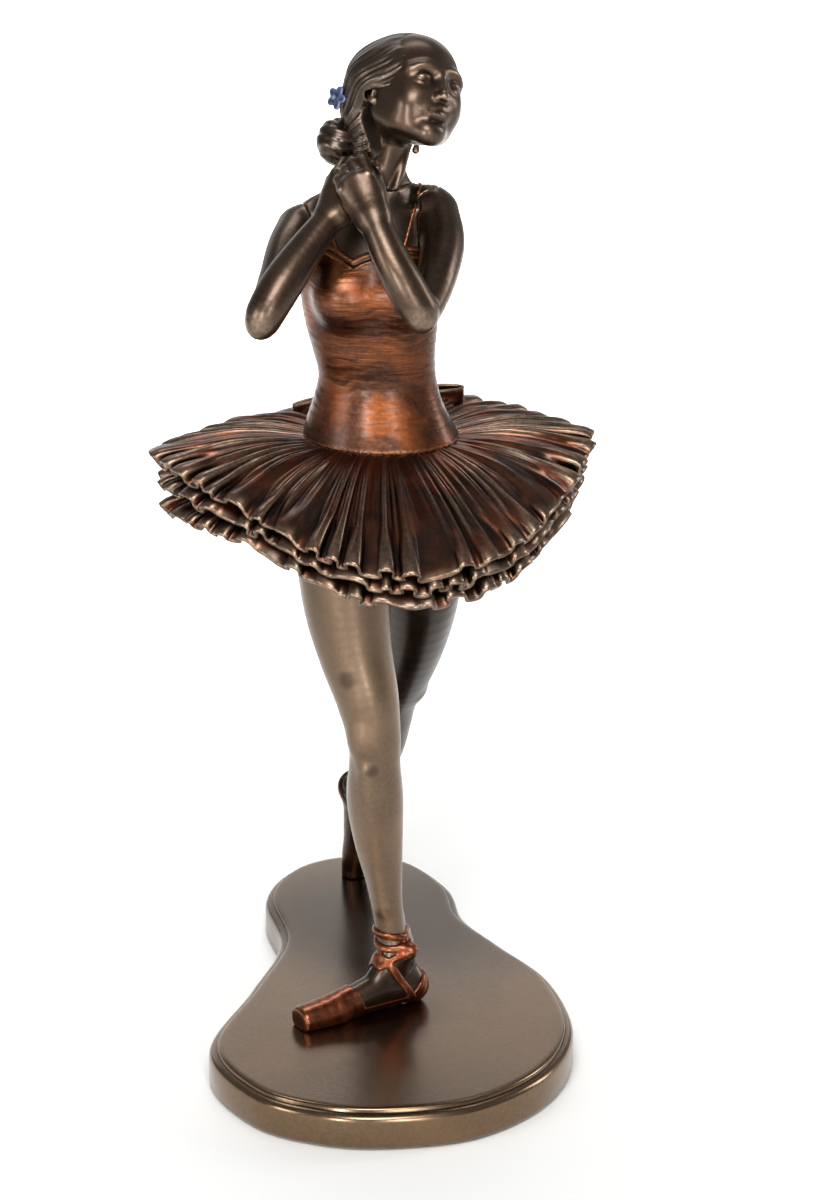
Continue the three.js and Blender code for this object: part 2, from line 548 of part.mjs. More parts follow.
// ---- dowels that pin the castings together ----
const dowels = {
  neck_dowel: { radius: 1.2, from: [2.4, -4, 239], to: [3.4, -4, 250] },
  waist_dowel: { radius: 2, from: [1.8, -3, 166], to: [1.2, -3.4, 182] },
  right_hip_dowel: { radius: 1.6, from: [-8.4, -5, 143], to: [-8.4, -5, 157] },
  left_hip_dowel: { radius: 1.6, from: [12, 4, 143], to: [12, 4, 157] },
  right_shoulder_dowel: { radius: 1.1, from: [-12, -4.2, 234], to: [-20.5, -5, 233] },
  left_shoulder_dowel: { radius: 1.1, from: [10.5, -4.2, 235.6], to: [18, -6.5, 236] },
};
const boreOf = (name) => {
  const { radius, from, to } = dowels[name];
  const start = new THREE.Vector3(...from);
  const end = new THREE.Vector3(...to);
  const reach = end.clone().sub(start).normalize().multiplyScalar(gap);
  return rod(radius + gap, start.sub(reach).toArray(), end.add(reach).toArray());
};
const bored = (solid, ...names) => names.reduce((left, name) => left.subtract(boreOf(name)), solid);

// ---- the assembly ----
const statuette = new THREE.Group();
function add(name, solid, material) {
  const mesh = new THREE.Mesh(geometryOf(largest(solid.simplify(fineness))), material);
  mesh.name = name;
  statuette.add(mesh);
}

add("felt_pad", felt, finish.felt);
add("plinth", plinthBody.subtract(screwHole(standingScrew)).subtract(screwHole(trailingScrew)), finish.plinth);
add("standing_foot_screw", screwOf(standingScrew), finish.steel);
add("trailing_foot_screw", screwOf(trailingScrew), finish.steel);
add("standing_foot_washer", washerOf(standingScrew), finish.steel);
add("trailing_foot_washer", washerOf(trailingScrew), finish.steel);
add("standing_leg", bored(standingLeg, "right_hip_dowel"), finish.tights);
add("trailing_leg", bored(trailingLeg, "left_hip_dowel"), finish.tights);
add("standing_slipper", standingSlipper, finish.costume);
add("trailing_slipper", trailingSlipper, finish.costume);
add("standing_ankle_ribbon", standingRibbon, finish.costume);
add("trailing_ankle_ribbon", trailingRibbon, finish.costume);
add("hips", bored(hips, "waist_dowel", "right_hip_dowel", "left_hip_dowel"), finish.costume);
add("bodice", bored(bodice, "waist_dowel", "right_shoulder_dowel", "left_shoulder_dowel"), finish.costume);
add("chest", bored(chest, "neck_dowel", "right_shoulder_dowel", "left_shoulder_dowel"), finish.skin);
add("head", bored(head, "neck_dowel"), finish.skin);
add("hair", hair, finish.hair);
add("hair_bun", bun, finish.hair);
add("hair_flower", flower, finish.flower);
add("earring", earring, finish.skin);
add("right_arm", bored(rightArm, "right_shoulder_dowel"), finish.skin);
add("left_arm", bored(leftArm, "left_shoulder_dowel"), finish.skin);
add("right_strap", clearOfBody(rightStrap).subtract(necklineTrim), finish.costume);
add("left_strap", clearOfBody(leftStrap).subtract(necklineTrim), finish.costume);
add("skirt_top_layer", flounce(0).subtract(hipsRoom), finish.costume);
add("skirt_middle_layer", flounce(0.5).subtract(hipsRoom), finish.costume);
add("skirt_under_layer", flounce(1).subtract(hipsRoom), finish.costume);
add("neckline_trim", necklineTrim, finish.costume);
add("waist_piping", piping, finish.costume);
add("back_bow", bow, finish.costume);
for (const [name, { radius, from, to }] of Object.entries(dowels)) add(name, rod(radius, from, to), finish.steel);

export default statuette;
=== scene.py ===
import math

import bpy
import numpy as np
import openvdb
from mathutils import Matrix, Vector


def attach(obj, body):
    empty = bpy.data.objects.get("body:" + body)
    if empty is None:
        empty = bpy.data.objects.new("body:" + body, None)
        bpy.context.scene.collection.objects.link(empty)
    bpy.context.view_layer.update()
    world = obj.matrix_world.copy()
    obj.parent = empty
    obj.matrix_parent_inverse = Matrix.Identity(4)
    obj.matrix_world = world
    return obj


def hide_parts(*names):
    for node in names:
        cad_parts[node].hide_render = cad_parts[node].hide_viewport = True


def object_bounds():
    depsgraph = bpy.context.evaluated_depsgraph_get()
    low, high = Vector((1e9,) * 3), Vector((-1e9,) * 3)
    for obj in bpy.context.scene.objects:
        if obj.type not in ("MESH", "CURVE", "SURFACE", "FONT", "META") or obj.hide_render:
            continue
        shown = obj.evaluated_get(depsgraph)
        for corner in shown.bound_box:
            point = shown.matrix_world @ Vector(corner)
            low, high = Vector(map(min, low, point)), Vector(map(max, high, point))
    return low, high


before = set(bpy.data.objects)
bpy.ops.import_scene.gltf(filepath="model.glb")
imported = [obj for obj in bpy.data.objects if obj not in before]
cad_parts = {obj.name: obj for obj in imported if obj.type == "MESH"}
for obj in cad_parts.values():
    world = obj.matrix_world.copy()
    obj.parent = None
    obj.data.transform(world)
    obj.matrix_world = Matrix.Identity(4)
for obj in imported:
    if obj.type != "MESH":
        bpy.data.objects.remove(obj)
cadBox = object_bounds()
mm = 0.001  # tables below are in millimetres, in the frame's own axes

camera = {"turn": -5.7, "rise": 20.0, "distance": 1150, "aim": (5.2, -53.8, 145), "lens": 131.1, "sensor": 36}
plinth = {
    "outline": [
        (-3, -86.5), (21, -82.5), (41.5, -65), (52, -38), (49.5, -5), (38.5, 20), (30, 40), (28, 62),
        (18, 82), (1, 88.5), (-17, 81), (-27, 60), (-25, 28), (-35.5, -3), (-49.5, -40), (-40, -69),
        (-22.5, -82.5),
    ],
    "profile": [  # inset from the outline, where 30 is the middle, and height
        (30, 1), (3, 1), (0.7, 1.02), (0.2, 1.3), (0, 1.9), (0, 5), (0, 8.6), (0.1, 9.3), (0.4, 9.95),
        (0.9, 10.4), (1.5, 10.62), (2, 10.66), (2.2, 10.7), (2.28, 10.9), (2.34, 11.3), (2.5, 11.65),
        (2.8, 11.88), (3.4, 11.98), (4.4, 12), (30, 12),
    ],
    "points": 320,
}
top = 12  # height of the plinth's top face
seam = 174  # height of the waist seam
neckCut = 244.5  # height where the head's neck meets the chest
legTop = 156  # height where the legs end inside the hips
legFinish = {"smooth": 10, "proud": 0.12, "passes": 14}
legCell, bodyCell, headCell, hipCell = 0.45, 0.4, 0.3, 0.6  # how fine the grid is for each clay
ribbonTop = 60  # nothing of a ribbon lies above this height
footLength = 41
grainHeight, creaseHeight = 0.0002, 0.0007  # how deep the bumps in the finish look, in metres
head = {"centre": (9.8, -5, 268.4), "turn": 34, "tip": 24, "roll": 25, "size": 1.06}


# Catmull-Rom through the rows, with steps spans between each pair.
def spline(rows, steps, closed=False):
    rows = np.array(rows, float)
    count = len(rows)
    ends = rows if closed else np.vstack([2 * rows[0] - rows[1], rows, 2 * rows[-1] - rows[-2]])
    made = []
    for k in range(count if closed else count - 1):
        a, b, c, d = [ends[(k + i - 1) % count] for i in range(4)] if closed else ends[k:k + 4]
        for t in np.arange(steps) / steps:
            low = 2 * b + (c - a) * t + (2 * a - 5 * b + 4 * c - d) * t * t
            made.append(0.5 * (low + (3 * b - a - 3 * c + d) * t ** 3))
    if not closed:
        made.append(rows[-1])
    return np.array(made)


# The rows, read at shares from 0 to 1 of the way along.
def sample(rows, share):
    spot = np.clip(share, 0, 1) * (len(rows) - 1)
    low = np.clip(np.floor(spot).astype(int), 0, len(rows) - 2)
    part = (spot - low)[:, None]
    return rows[low] * (1 - part) + rows[low + 1] * part


def smoothStep(value, low, high):
    part = np.clip((value - low) / (high - low), 0, 1)
    return part * part * (3 - 2 * part)


def unit(values):
    values = np.array(values, float)
    return values / np.linalg.norm(values)


# The nearer of two fields, rounded together where they meet.
def softMin(a, b, blend):
    if blend <= 0:
        return np.minimum(a, b)
    share = np.clip(0.5 + 0.5 * (b - a) / blend, 0, 1)
    return b * (1 - share) + a * share - blend * share * (1 - share)


def softMax(a, b, blend):
    return -softMin(-a, -b, blend)


# the grid ticks that lie from low to high on each axis
def windowOf(ticks, low, high):
    spans = [np.searchsorted(t, (a, b)) for t, a, b in zip(ticks, low, high)]
    return tuple(slice(int(first), int(last)) for first, last in spans)


# solids blended on a fine grid, later cast as one smooth surface
class Clay:
    def __init__(self, low, high, cell):
        self.low, self.cell = np.array(low, float), cell
        count = np.ceil((np.array(high) - self.low) / cell).astype(int) + 1
        self.ticks = [self.low[i] + cell * np.arange(count[i]) for i in range(3)]
        self.field = np.full(count, 20.0, np.float32)

    def grid(self, window=(slice(None),) * 3):
        x, y, z = [t[w].astype(np.float32) for t, w in zip(self.ticks, window)]
        return x[:, None, None], y[None, :, None], z[None, None, :]

    def work(self, shape, blend, cut):
        low, high, distance = shape
        reach = max(blend, 4) + 2 * self.cell
        window = windowOf(self.ticks, low - reach, high + reach)
        if any(w.stop <= w.start for w in window):
            return
        made = distance(*self.grid(window))
        held = self.field[window]
        self.field[window] = softMax(held, -made, blend) if cut else softMin(held, made, blend)

    def add(self, shape, blend=0.0):
        self.work(shape, blend, False)

    def cut(self, shape, blend=0.0):
        self.work(shape, blend, True)


# A mesh of where the field is zero, relaxed smooth times.
def cast(name, clay, field, smooth):
    values = field.astype(np.float32)
    for axis in range(3):  # close the solid where it meets the edge of the grid
        for end in (0, -1):
            edge = [slice(None)] * 3
            edge[axis] = end
            values[tuple(edge)] = np.maximum(values[tuple(edge)], clay.cell)
    grid = openvdb.FloatGrid(20.0)
    grid.copyFromArray(np.clip(values, -3, 20))
    points, quads = grid.convertToQuads(0.0)[:2]
    places = (clay.low + np.array(points) * clay.cell) * mm
    quads = np.array(quads)
    sides = np.sort(np.vstack([quads[:, [i, (i + 1) % 4]] for i in range(4)]), 1)
    sides = np.unique(sides[:, 0].astype(np.int64) * len(places) + sides[:, 1])
    pairs = np.stack([sides // len(places), sides % len(places)], 1)
    return meshOf(name, relaxed(places, pairs, smooth), quads)


def meshOf(name, places, faces):
    mesh = bpy.data.meshes.new(name)
    mesh.from_pydata(places.tolist(), [], faces.tolist())
    mesh.update()
    obj = bpy.data.objects.new(name, mesh)
    bpy.context.collection.objects.link(obj)
    face = np.array(faces)
    a, b, c = [places[face[:, i]] for i in range(3)]
    if np.einsum("ij,ij->i", a, np.cross(b, c)).sum() < 0:
        mesh.flip_normals()
    mesh.shade_smooth()
    return obj


# Round beads x, y, z, radius joined by tapering rods.
def tube(rows):
    rows = np.array(rows, float)
    low, high = (rows[:, :3] - rows[:, 3:]).min(0), (rows[:, :3] + rows[:, 3:]).max(0)

    def distance(x, y, z):
        ticks = [v.ravel() for v in (x, y, z)]
        best = np.full([len(t) for t in ticks], 20, np.float32)
        for a, b in zip(rows[:-1], rows[1:]):
            reach = max(a[3], b[3]) + 6
            window = windowOf(ticks, np.minimum(a, b)[:3] - reach, np.maximum(a, b)[:3] + reach)
            if any(w.stop <= w.start for w in window):
                continue
            near = x[window[0]], y[:, window[1]], z[:, :, window[2]]
            way = (b - a).astype(np.float32)
            length = max(float(way[:3] @ way[:3]), 1e-6)
            share = np.clip(sum((v - a[i]) * way[i] for i, v in enumerate(near)) / length, 0, 1)
            off = sum((v - np.float32(a[i]) - share * way[i]) ** 2 for i, v in enumerate(near))
            best[window] = np.minimum(best[window], np.sqrt(off) - np.float32(a[3]) - share * way[3])
        return best

    return low, high, distance


# An ellipsoid; axes are its own x, y and z as columns.
def egg(centre, halves, axes=None):
    centre, halves = np.array(centre, float), np.array(halves, float)
    axes = np.eye(3) if axes is None else np.array(axes)
    reach = np.abs(axes) @ halves

    def distance(x, y, z):
        off = (x - centre[0], y - centre[1], z - centre[2])
        own = [sum(axes[j][i] * off[j] for j in range(3)) for i in range(3)]
        near = np.sqrt(sum((v / h) ** 2 for v, h in zip(own, halves)))
        steep = np.sqrt(sum((v / h ** 2) ** 2 for v, h in zip(own, halves)))
        return near * (near - 1) / np.maximum(steep, 1e-6)

    return centre - reach, centre + reach, distance


# A stack of ovals x, y, z, side, front, back; front is towards facing.
def trunk(rows, facing):
    fine = spline(rows, 12)
    toward = unit(facing)
    wide = fine[:, 3:].max()
    low = np.array([fine[:, 0].min() - wide, fine[:, 1].min() - wide, fine[:, 2].min()])
    high = np.array([fine[:, 0].max() + wide, fine[:, 1].max() + wide, fine[:, 2].max()])
    order = np.argsort(fine[:, 2])

    def distance(x, y, z):
        level = z.ravel()
        read = [np.interp(level, fine[order, 2], fine[order, i])[None, None, :] for i in (0, 1, 3, 4, 5)]
        across = (x - read[0]) * -toward[1] + (y - read[1]) * toward[0]
        along = (x - read[0]) * toward[0] + (y - read[1]) * toward[1]
        depth = np.where(along > 0, read[3], read[4])
        near = np.sqrt((across / read[2]) ** 2 + (along / depth) ** 2)
        steep = np.sqrt((across / read[2] ** 2) ** 2 + (along / depth ** 2) ** 2)
        made = near * (near - 1) / np.maximum(steep, 1e-6)
        return np.maximum(made, np.maximum(z - fine[:, 2].max(), fine[:, 2].min() - z))

    return low, high, distance


def coordinates(obj):
    places = np.empty(len(obj.data.vertices) * 3)
    obj.data.vertices.foreach_get("co", places)
    return places.reshape(-1, 3)


def setCoordinates(obj, places):
    obj.data.vertices.foreach_set("co", np.ascontiguousarray(places, dtype=np.float64).ravel())
    obj.data.update()


def normals(obj):
    made = np.empty(len(obj.data.vertices) * 3)
    obj.data.vertices.foreach_get("normal", made)
    return made.reshape(-1, 3)


def edges(obj):
    made = np.empty(len(obj.data.edges) * 2, np.int32)
    obj.data.edges.foreach_get("vertices", made)
    return made.reshape(-1, 2)


# Each point moved half way to the mean of its neighbours, passes times.
def relaxed(places, pairs, passes):
    count = len(places)
    share = np.bincount(pairs.ravel(), minlength=count).astype(float)
    share[share == 0] = 1
    for _ in range(passes):
        total = np.stack([
            np.bincount(pairs[:, 0], places[pairs[:, 1], i], count)
            + np.bincount(pairs[:, 1], places[pairs[:, 0], i], count)
            for i in range(places.shape[1])
        ], 1)
        places = 0.5 * places + 0.5 * total / share[:, None]
    return places


def getAttribute(obj, name):
    made = np.empty(len(obj.data.vertices), np.float32)
    obj.data.attributes[name].data.foreach_get("value", made)
    return made


def setAttribute(obj, name, values):
    made = obj.data.attributes.get(name) or obj.data.attributes.new(name, "FLOAT", "POINT")
    made.data.foreach_set("value", np.ascontiguousarray(values, dtype=np.float32))


# wear: 1 on what stands proud and gets rubbed, 0 in the hollows, by height in millimetres.
def markWear(obj, height, passes=10, extra=None):
    places = coordinates(obj)
    proud = ((places - relaxed(places, edges(obj), passes)) * normals(obj)).sum(1) / (height * mm)
    proud = relaxed(proud[:, None], edges(obj), 2)[:, 0]
    wear = 0.5 + 0.5 * np.tanh(proud)
    setAttribute(obj, "wear", wear if extra is None else np.maximum(wear, extra))


def finishPiece(obj, material, slot, *nodes):
    obj.data.materials.clear()
    obj.data.materials.append(material)
    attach(obj, "root")
    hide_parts(*nodes)
    print("made", obj.name, len(obj.data.polygons), "faces", flush=True)


# Cast, wear and finish a piece; proud is the height, in millimetres, that is rubbed bright.
def castPiece(node, clay, field, material, slot, smooth=3, proud=0.05, passes=10):
    piece = cast(node.replace("_ankle", "") + "_casting", clay, field, smooth)
    markWear(piece, proud, passes)
    finishPiece(piece, material, slot, node)


# A grid bent by place(u, v), given in millimetres, with a thickness.
def sheet(name, columns, rows, place, thickness, wrap=True):
    bpy.ops.object.select_all(action="DESELECT")
    bpy.ops.mesh.primitive_grid_add(x_subdivisions=columns, y_subdivisions=rows, size=2)
    obj = bpy.context.object
    obj.name = obj.data.name = name
    flat = coordinates(obj)
    u, v = (flat[:, 0] + 1) / 2, (flat[:, 1] + 1) / 2
    setCoordinates(obj, place(u, v) * mm)
    setAttribute(obj, "around", u)
    setAttribute(obj, "outward", v)
    obj.location = (0, 0, 0)
    if wrap:
        bpy.ops.object.mode_set(mode="EDIT")
        bpy.ops.mesh.select_all(action="SELECT")
        bpy.ops.mesh.remove_doubles(threshold=0.00001)
        bpy.ops.object.mode_set(mode="OBJECT")
    if thickness:
        solid = obj.modifiers.new("thickness", "SOLIDIFY")
        solid.thickness, solid.offset = thickness * mm, 0
        bpy.ops.object.modifier_apply(modifier=solid.name)
    obj.data.shade_smooth()
    return obj


def join(objects, name):
    bpy.ops.object.select_all(action="DESELECT")
    for obj in objects:
        obj.select_set(True)
    bpy.context.view_layer.objects.active = objects[0]
    bpy.ops.object.join()
    objects[0].name = objects[0].data.name = name
    return objects[0]


# A hex colour as the linear one that sockets take.
def linear(code):
    parts = [int(code[i:i + 2], 16) / 255 for i in (0, 2, 4)]
    return tuple(p / 12.92 if p <= 0.04045 else ((p + 0.055) / 1.055) ** 2.4 for p in parts) + (1,)


# Cast metal: two patina tones in clouds, darker in hollows, rubbed bright on edges, with a fine cast grain.
def bronze(name, colours, look):
    material = bpy.data.materials.new(name)
    material.use_nodes = True
    nodes, links = material.node_tree.nodes, material.node_tree.links
    shader = nodes["Principled BSDF"]

    def node(kind, **values):
        made = nodes.new(kind)
        for key, value in values.items():
            setattr(made, key, value)
        return made

    def noise(scale, detail, distortion=0.0):
        made = node("ShaderNodeTexNoise")
        made.inputs["Scale"].default_value = scale
        made.inputs["Detail"].default_value = detail
        made.inputs["Distortion"].default_value = distortion
        links.new(coords.outputs["Object"], made.inputs["Vector"])
        return made.outputs["Fac"]

    def ranged(value, low, high, out0, out1):
        made = node("ShaderNodeMapRange", interpolation_type="SMOOTHSTEP")
        for key, number in zip(("From Min", "From Max", "To Min", "To Max"), (low, high, out0, out1)):
            made.inputs[key].default_value = number
        links.new(value, made.inputs["Value"])
        return made.outputs["Result"]

    def feed(socket, value):
        if isinstance(value, (tuple, float, int)):
            socket.default_value = value
        else:
            links.new(value, socket)

    def mixed(share, a, b):
        made = node("ShaderNodeMix", data_type="RGBA", blend_type="MIX")
        for index, value in ((0, share), (6, a), (7, b)):
            feed(made.inputs[index], value)
        return made.outputs[2]

    def times(a, b):
        made = node("ShaderNodeMath", operation="MULTIPLY")
        feed(made.inputs[0], a)
        feed(made.inputs[1], b)
        return made.outputs[0]

    dark, mid, light, deep, bright = [linear(code) for code in colours]
    coords = node("ShaderNodeTexCoord")
    wear = node("ShaderNodeAttribute", attribute_name="wear").outputs["Fac"]
    clouds = ranged(noise(look["clouds"], 6, 0.6), 0.36, 0.64, 0, 1)
    specks = ranged(noise(look["specks"], 4), 0.3, 0.7, 0, 1)
    body = mixed(clouds, dark, mid)
    body = mixed(times(specks, look["speckle"]), body, light)
    body = mixed(ranged(wear, *look["hollow"], look["depth"], 0), body, deep)
    rubbing = times(ranged(wear, *look["rub"], 0, look["shine"]), ranged(specks, 0, 1, 0.55, 1))
    finishedColour = mixed(rubbing, body, bright)
    for place, radius, strength in look["patches"]:  # darker spots mixed toward the hollow colour: patina on some pieces, painted shade and painted shadow on others
        reach = node("ShaderNodeVectorMath", operation="DISTANCE")
        links.new(coords.outputs["Object"], reach.inputs[0])
        reach.inputs[1].default_value = [p * mm for p in place]
        spot = ranged(reach.outputs["Value"], radius * mm * 0.3, radius * mm, strength, 0)
        finishedColour = mixed(spot, finishedColour, deep)
    links.new(finishedColour, shader.inputs["Base Color"])
    rough = ranged(noise(look["clouds"] * 2.3, 5), 0.3, 0.7, *look["roughness"])
    links.new(rough, shader.inputs["Roughness"])
    shader.inputs["Metallic"].default_value = look["metallic"]
    shader.inputs["Coat Weight"].default_value = look["coat"]
    shader.inputs["Coat Roughness"].default_value = look["coatRoughness"]
    bump = node("ShaderNodeBump")
    bump.inputs["Strength"].default_value = look["grain"]
    bump.inputs["Distance"].default_value = grainHeight
    links.new(noise(look["specks"] * 1.6, 6), bump.inputs["Height"])
    if "creases" in look:  # fine level creases in gathered cloth
        flatten = node("ShaderNodeMapping")
        flatten.inputs["Scale"].default_value = (1, 1, 9)
        links.new(coords.outputs["Object"], flatten.inputs["Vector"])
        lines = noise(95, 5, 0.4)
        links.new(flatten.outputs["Vector"], lines.node.inputs["Vector"])
        creased = node("ShaderNodeBump")
        creased.inputs["Strength"].default_value = look["creases"]
        creased.inputs["Distance"].default_value = creaseHeight
        links.new(lines, creased.inputs["Height"])
        links.new(creased.outputs["Normal"], bump.inputs["Normal"])
    links.new(bump.outputs["Normal"], shader.inputs["Normal"])
    return material


# clouds and specks are noise scales, hollow and rub are spans of wear, and patches are place, radius, strength;
# a metal's colours are its dark and middle patina, specks, hollows and rubbed edges
base = {
    "clouds": 55, "specks": 900, "speckle": 0.2, "hollow": (0.22, 0.46), "depth": 0.75, "rub": (0.6, 0.95),
    "shine": 0.5, "roughness": (0.34, 0.44), "metallic": 1.0, "coat": 0.4, "coatRoughness": 0.24,
    "grain": 0.15, "patches": [],
}
skinBronze = bronze("skin_bronze", ("44342a", "524032", "665242", "1e140d", "a58f7a"), {
    **base, "shine": 0.55, "roughness": (0.32, 0.4), "coat": 0.3, "patches": [((2, -13, 231), 17, 0.8)],
})
tightsBronze = bronze("tights_bronze", ("6a5643", "7a634e", "8a735d", "2e1f15", "9a8570"), {
    **base, "clouds": 35, "roughness": (0.38, 0.48), "shine": 0.3, "coat": 0.5,
    "patches": [
        # two small darker spots on the front of the thigh and below the knee, patina round the ankle, and a
        # wide patch at the top of the leg that is painted shade under the skirt
        ((-9, -21.5, 110.6), 3.8, 0.65), ((-2.6, -23, 84.4), 2.6, 0.6), ((4, -20, 19), 18, 0.85),
        ((-6, -24, 19), 16, 0.7), ((-8, -4, 150), 44, 0.4),
    ],
})
# a darker copy of the tights bronze for the trailing leg: painted shade
shadedTights = bronze("tights_bronze_shaded", ("291e17", "342820", "41342a", "1c130d", "66543f"), {
    **base, "clouds": 35, "roughness": (0.3, 0.4), "shine": 0.3,
})
hairBronze = bronze("hair_bronze", ("392c23", "483a2f", "605246", "1a120c", "a09080"), {
    **base, "shine": 0.5, "roughness": (0.3, 0.4),
})
bodiceCopper = bronze("bodice_copper", ("40251a", "79401f", "8c5d3c", "28150c", "a87048"), {
    **base, "clouds": 70, "hollow": (0.25, 0.48), "roughness": (0.34, 0.44), "coat": 0.3, "creases": 0.5,
})
skirtCopper = bronze("skirt_copper", ("38241a", "64341d", "5e4838", "140c07", "95826d"), {
    **base, "clouds": 90, "hollow": (0.28, 0.52), "depth": 0.9, "rub": (0.66, 1.0), "shine": 0.65,
    "roughness": (0.3, 0.4),
})
slipperCopper = bronze("costume_copper", ("511f0e", "733115", "8c4a26", "1f1009", "9c6440"), {
    **base, "clouds": 130, "roughness": (0.32, 0.42), "coat": 0.4, "shine": 0.4,
})
# a darker copy of the slipper copper for the trailing foot and its ribbons: painted shade
shadedSlipper = bronze("costume_copper_shaded", ("23130b", "341b0f", "4a2a19", "140a06", "6e4730"), {
    **base, "clouds": 130, "roughness": (0.32, 0.42), "coat": 0.3, "shine": 0.3,
})
plinthBronze = bronze("plinth_bronze", ("65523f", "735b45", "82694f", "261b14", "907557"), {
    **base, "clouds": 20, "roughness": (0.2, 0.27), "grain": 0.06, "shine": 0.3, "coat": 0.3,
    # a wide darker patch over the back of the top, and a patch round the standing foot that is a painted shadow
    # and painted reflection of the leg
    "patches": [((8, 40, 12), 60, 0.75), ((0, -22, 12), 26, 0.35)],
})
flowerBlue = bronze("flower_blue", ("26324f", "364468", "5f6b88", "101422", "7a869e"), {
    **base, "metallic": 0.4,
})


# the plinth: its outline swept up through a moulded profile, closed at the middle above and below
def outlineLoop(count):
    fine = spline(plinth["outline"], 40, closed=True)
    fine = np.vstack([fine, fine[:1]])
    along = np.concatenate([[0], np.cumsum(np.linalg.norm(np.diff(fine, axis=0), axis=1))])
    spots = np.linspace(0, along[-1], count + 1)
    return np.stack([np.interp(spots, along, fine[:, i]) for i in range(2)], 1)


def plinthPlace(u, v):
    count = plinth["points"]
    loop = outlineLoop(count)[:-1]
    ahead = np.roll(loop, -1, 0) - np.roll(loop, 1, 0)
    inward = np.stack([-ahead[:, 1], ahead[:, 0]], 1) / np.linalg.norm(ahead, axis=1)[:, None]
    k = np.round(u * count).astype(int) % count
    r = np.round(v * (len(plinth["profile"]) - 1)).astype(int)
    inset, height = np.array(plinth["profile"])[r].T
    spot = loop[k] + inward[k] * inset[:, None]
    spot = np.where(inset[:, None] >= 30, 0.0, spot)
    return np.column_stack([spot, height])


plinthPiece = sheet("plinth_casting", plinth["points"], len(plinth["profile"]) - 1, plinthPlace, 0)
markWear(plinthPiece, 0.05, 4)
plinthPiece.data.set_sharp_from_angle(angle=math.radians(50))
finishPiece(plinthPiece, plinthBronze, "plinth_bronze", "plinth")

# standing leg, its foot and slipper
footWay = np.array([-0.9, -0.43]) / np.hypot(0.9, 0.43)
heelSpot = np.array([13.2, -15.0])


def alongFoot(far, height, side=0.0):
    return [*(heelSpot + footWay * far + np.array([-footWay[1], footWay[0]]) * side), height]


standing = {
    "leg": [
        (-8.6, -4, 158, 13.8), (-8.5, -6.5, 142, 13.3), (-8, -9, 128, 12), (-6.1, -12, 115, 10.2),
        (-3.2, -15, 103, 8.7), (-1.3, -16.2, 91, 7.3), (-1.2, -15.8, 83, 7.1), (-1, -15.2, 74, 7.7),
        (-0.3, -15, 62, 7), (1.2, -15.9, 49, 5.2), (2, -17, 41, 4.4), (3.2, -17.5, 32, 4.2),
        (4.6, -17.9, 24, 4.2),
    ],
    "foot": [  # how far from the heel, height, radius
        (4.6, 16.6, 4.3), (10, 17.4, 4.4), (17, 16.8, 4.2), (25, 16, 3.9), (32, 15.2, 3.5), (38, 14.8, 2.9),
    ],
    "slipper": {"wall": 0.5, "heelHeight": 8.6, "sideHeight": 3.4, "vamp": 23.5},
}
standingClay = Clay((-31, -42, top - 3), (19, 14, 160), legCell)
standingClay.add(tube(spline(standing["leg"], 5)))
standingClay.add(egg((-1.4, -10.8, 73), (6.2, 5.2, 13)), 4)  # calf
standingClay.add(egg((-4.8, -20.2, 92), (3.4, 2.6, 4.6)), 4)  # kneecap
standingClay.add(tube([(-4, -21.5, 84, 1.6), (-1.5, -19.6, 56, 1.2), (0.4, -19.6, 42, 1)]), 3)  # shin
standingClay.add(tube([(3, -11.4, 52, 1.6), (6.8, -14, 30, 1.5), (9.2, -16, 20, 2.4)]), 2.5)  # tendon
for side in (-1, 1):
    standingClay.add(egg(alongFoot(7.4, 28.5, 4.1 * side), (1.7, 1.7, 2.1)), 2)  # ankle bones
bareFoot = spline([alongFoot(far, height) + [radius] for far, height, radius in standing["foot"]], 4)
standingClay.add(tube(bareFoot), 2.5)
instep = [(4, -18, 27, 4.2), alongFoot(17, 19.4) + [3.2], alongFoot(27, 16.2) + [2.4]]
standingClay.add(tube(instep), 3)
for side in (-1, 1):
    toeBox = [alongFoot(30, 15, 1.6 * side) + [2.8], alongFoot(40, 14.7, 1.5 * side) + [2.5]]
    standingClay.add(tube(toeBox), 2)
x, y, z = standingClay.grid()
far = (x - heelSpot[0]) * footWay[0] + (y - heelSpot[1]) * footWay[1]
aside = (x - heelSpot[0]) * -footWay[1] + (y - heelSpot[1]) * footWay[0]
footField = softMax(standingClay.field, far - footLength, 0.7)
shape = standing["slipper"]
line = shape["sideHeight"] + (shape["heelHeight"] - shape["sideHeight"]) * (1 - smoothStep(far, 1.5, 9))
line = line + 30 * smoothStep(far + aside ** 2 * 0.06, shape["vamp"], shape["vamp"] + 4)
rim = 0.3 * np.exp(-((z - top - line) / 0.5) ** 2)
crease = 0.05 * np.sin(far * 2.1 + 0.4 * aside) * smoothStep(far, 24, 28) * (1 - smoothStep(far, 34, 38))
slipperField = footField - shape["wall"] - rim - crease
slipperField = softMax(slipperField, z - top - line, 0.3)
slipperField = softMax(slipperField, -(footField + 0.5), 0.1)
slipperField = np.maximum(slipperField, top - z)
sole = softMax(softMax(footField - 0.7, z - top - 1.1, 0.3), top - z, 0.05)
slipperField = softMin(slipperField, sole, 0.2)
castPiece("standing_slipper", standingClay, slipperField, slipperCopper, "costume_copper")
legField = np.maximum(np.maximum(footField, top + 0.6 - z), z - legTop)
castPiece("standing_leg", standingClay, legField, tightsBronze, "tights_bronze", **legFinish)


# Distance of the grid now in x, y, z from a plane.
def offPlane(point, normal):
    normal = unit(normal)
    return abs((x - point[0]) * normal[0] + (y - point[1]) * normal[1] + (z - point[2]) * normal[2])


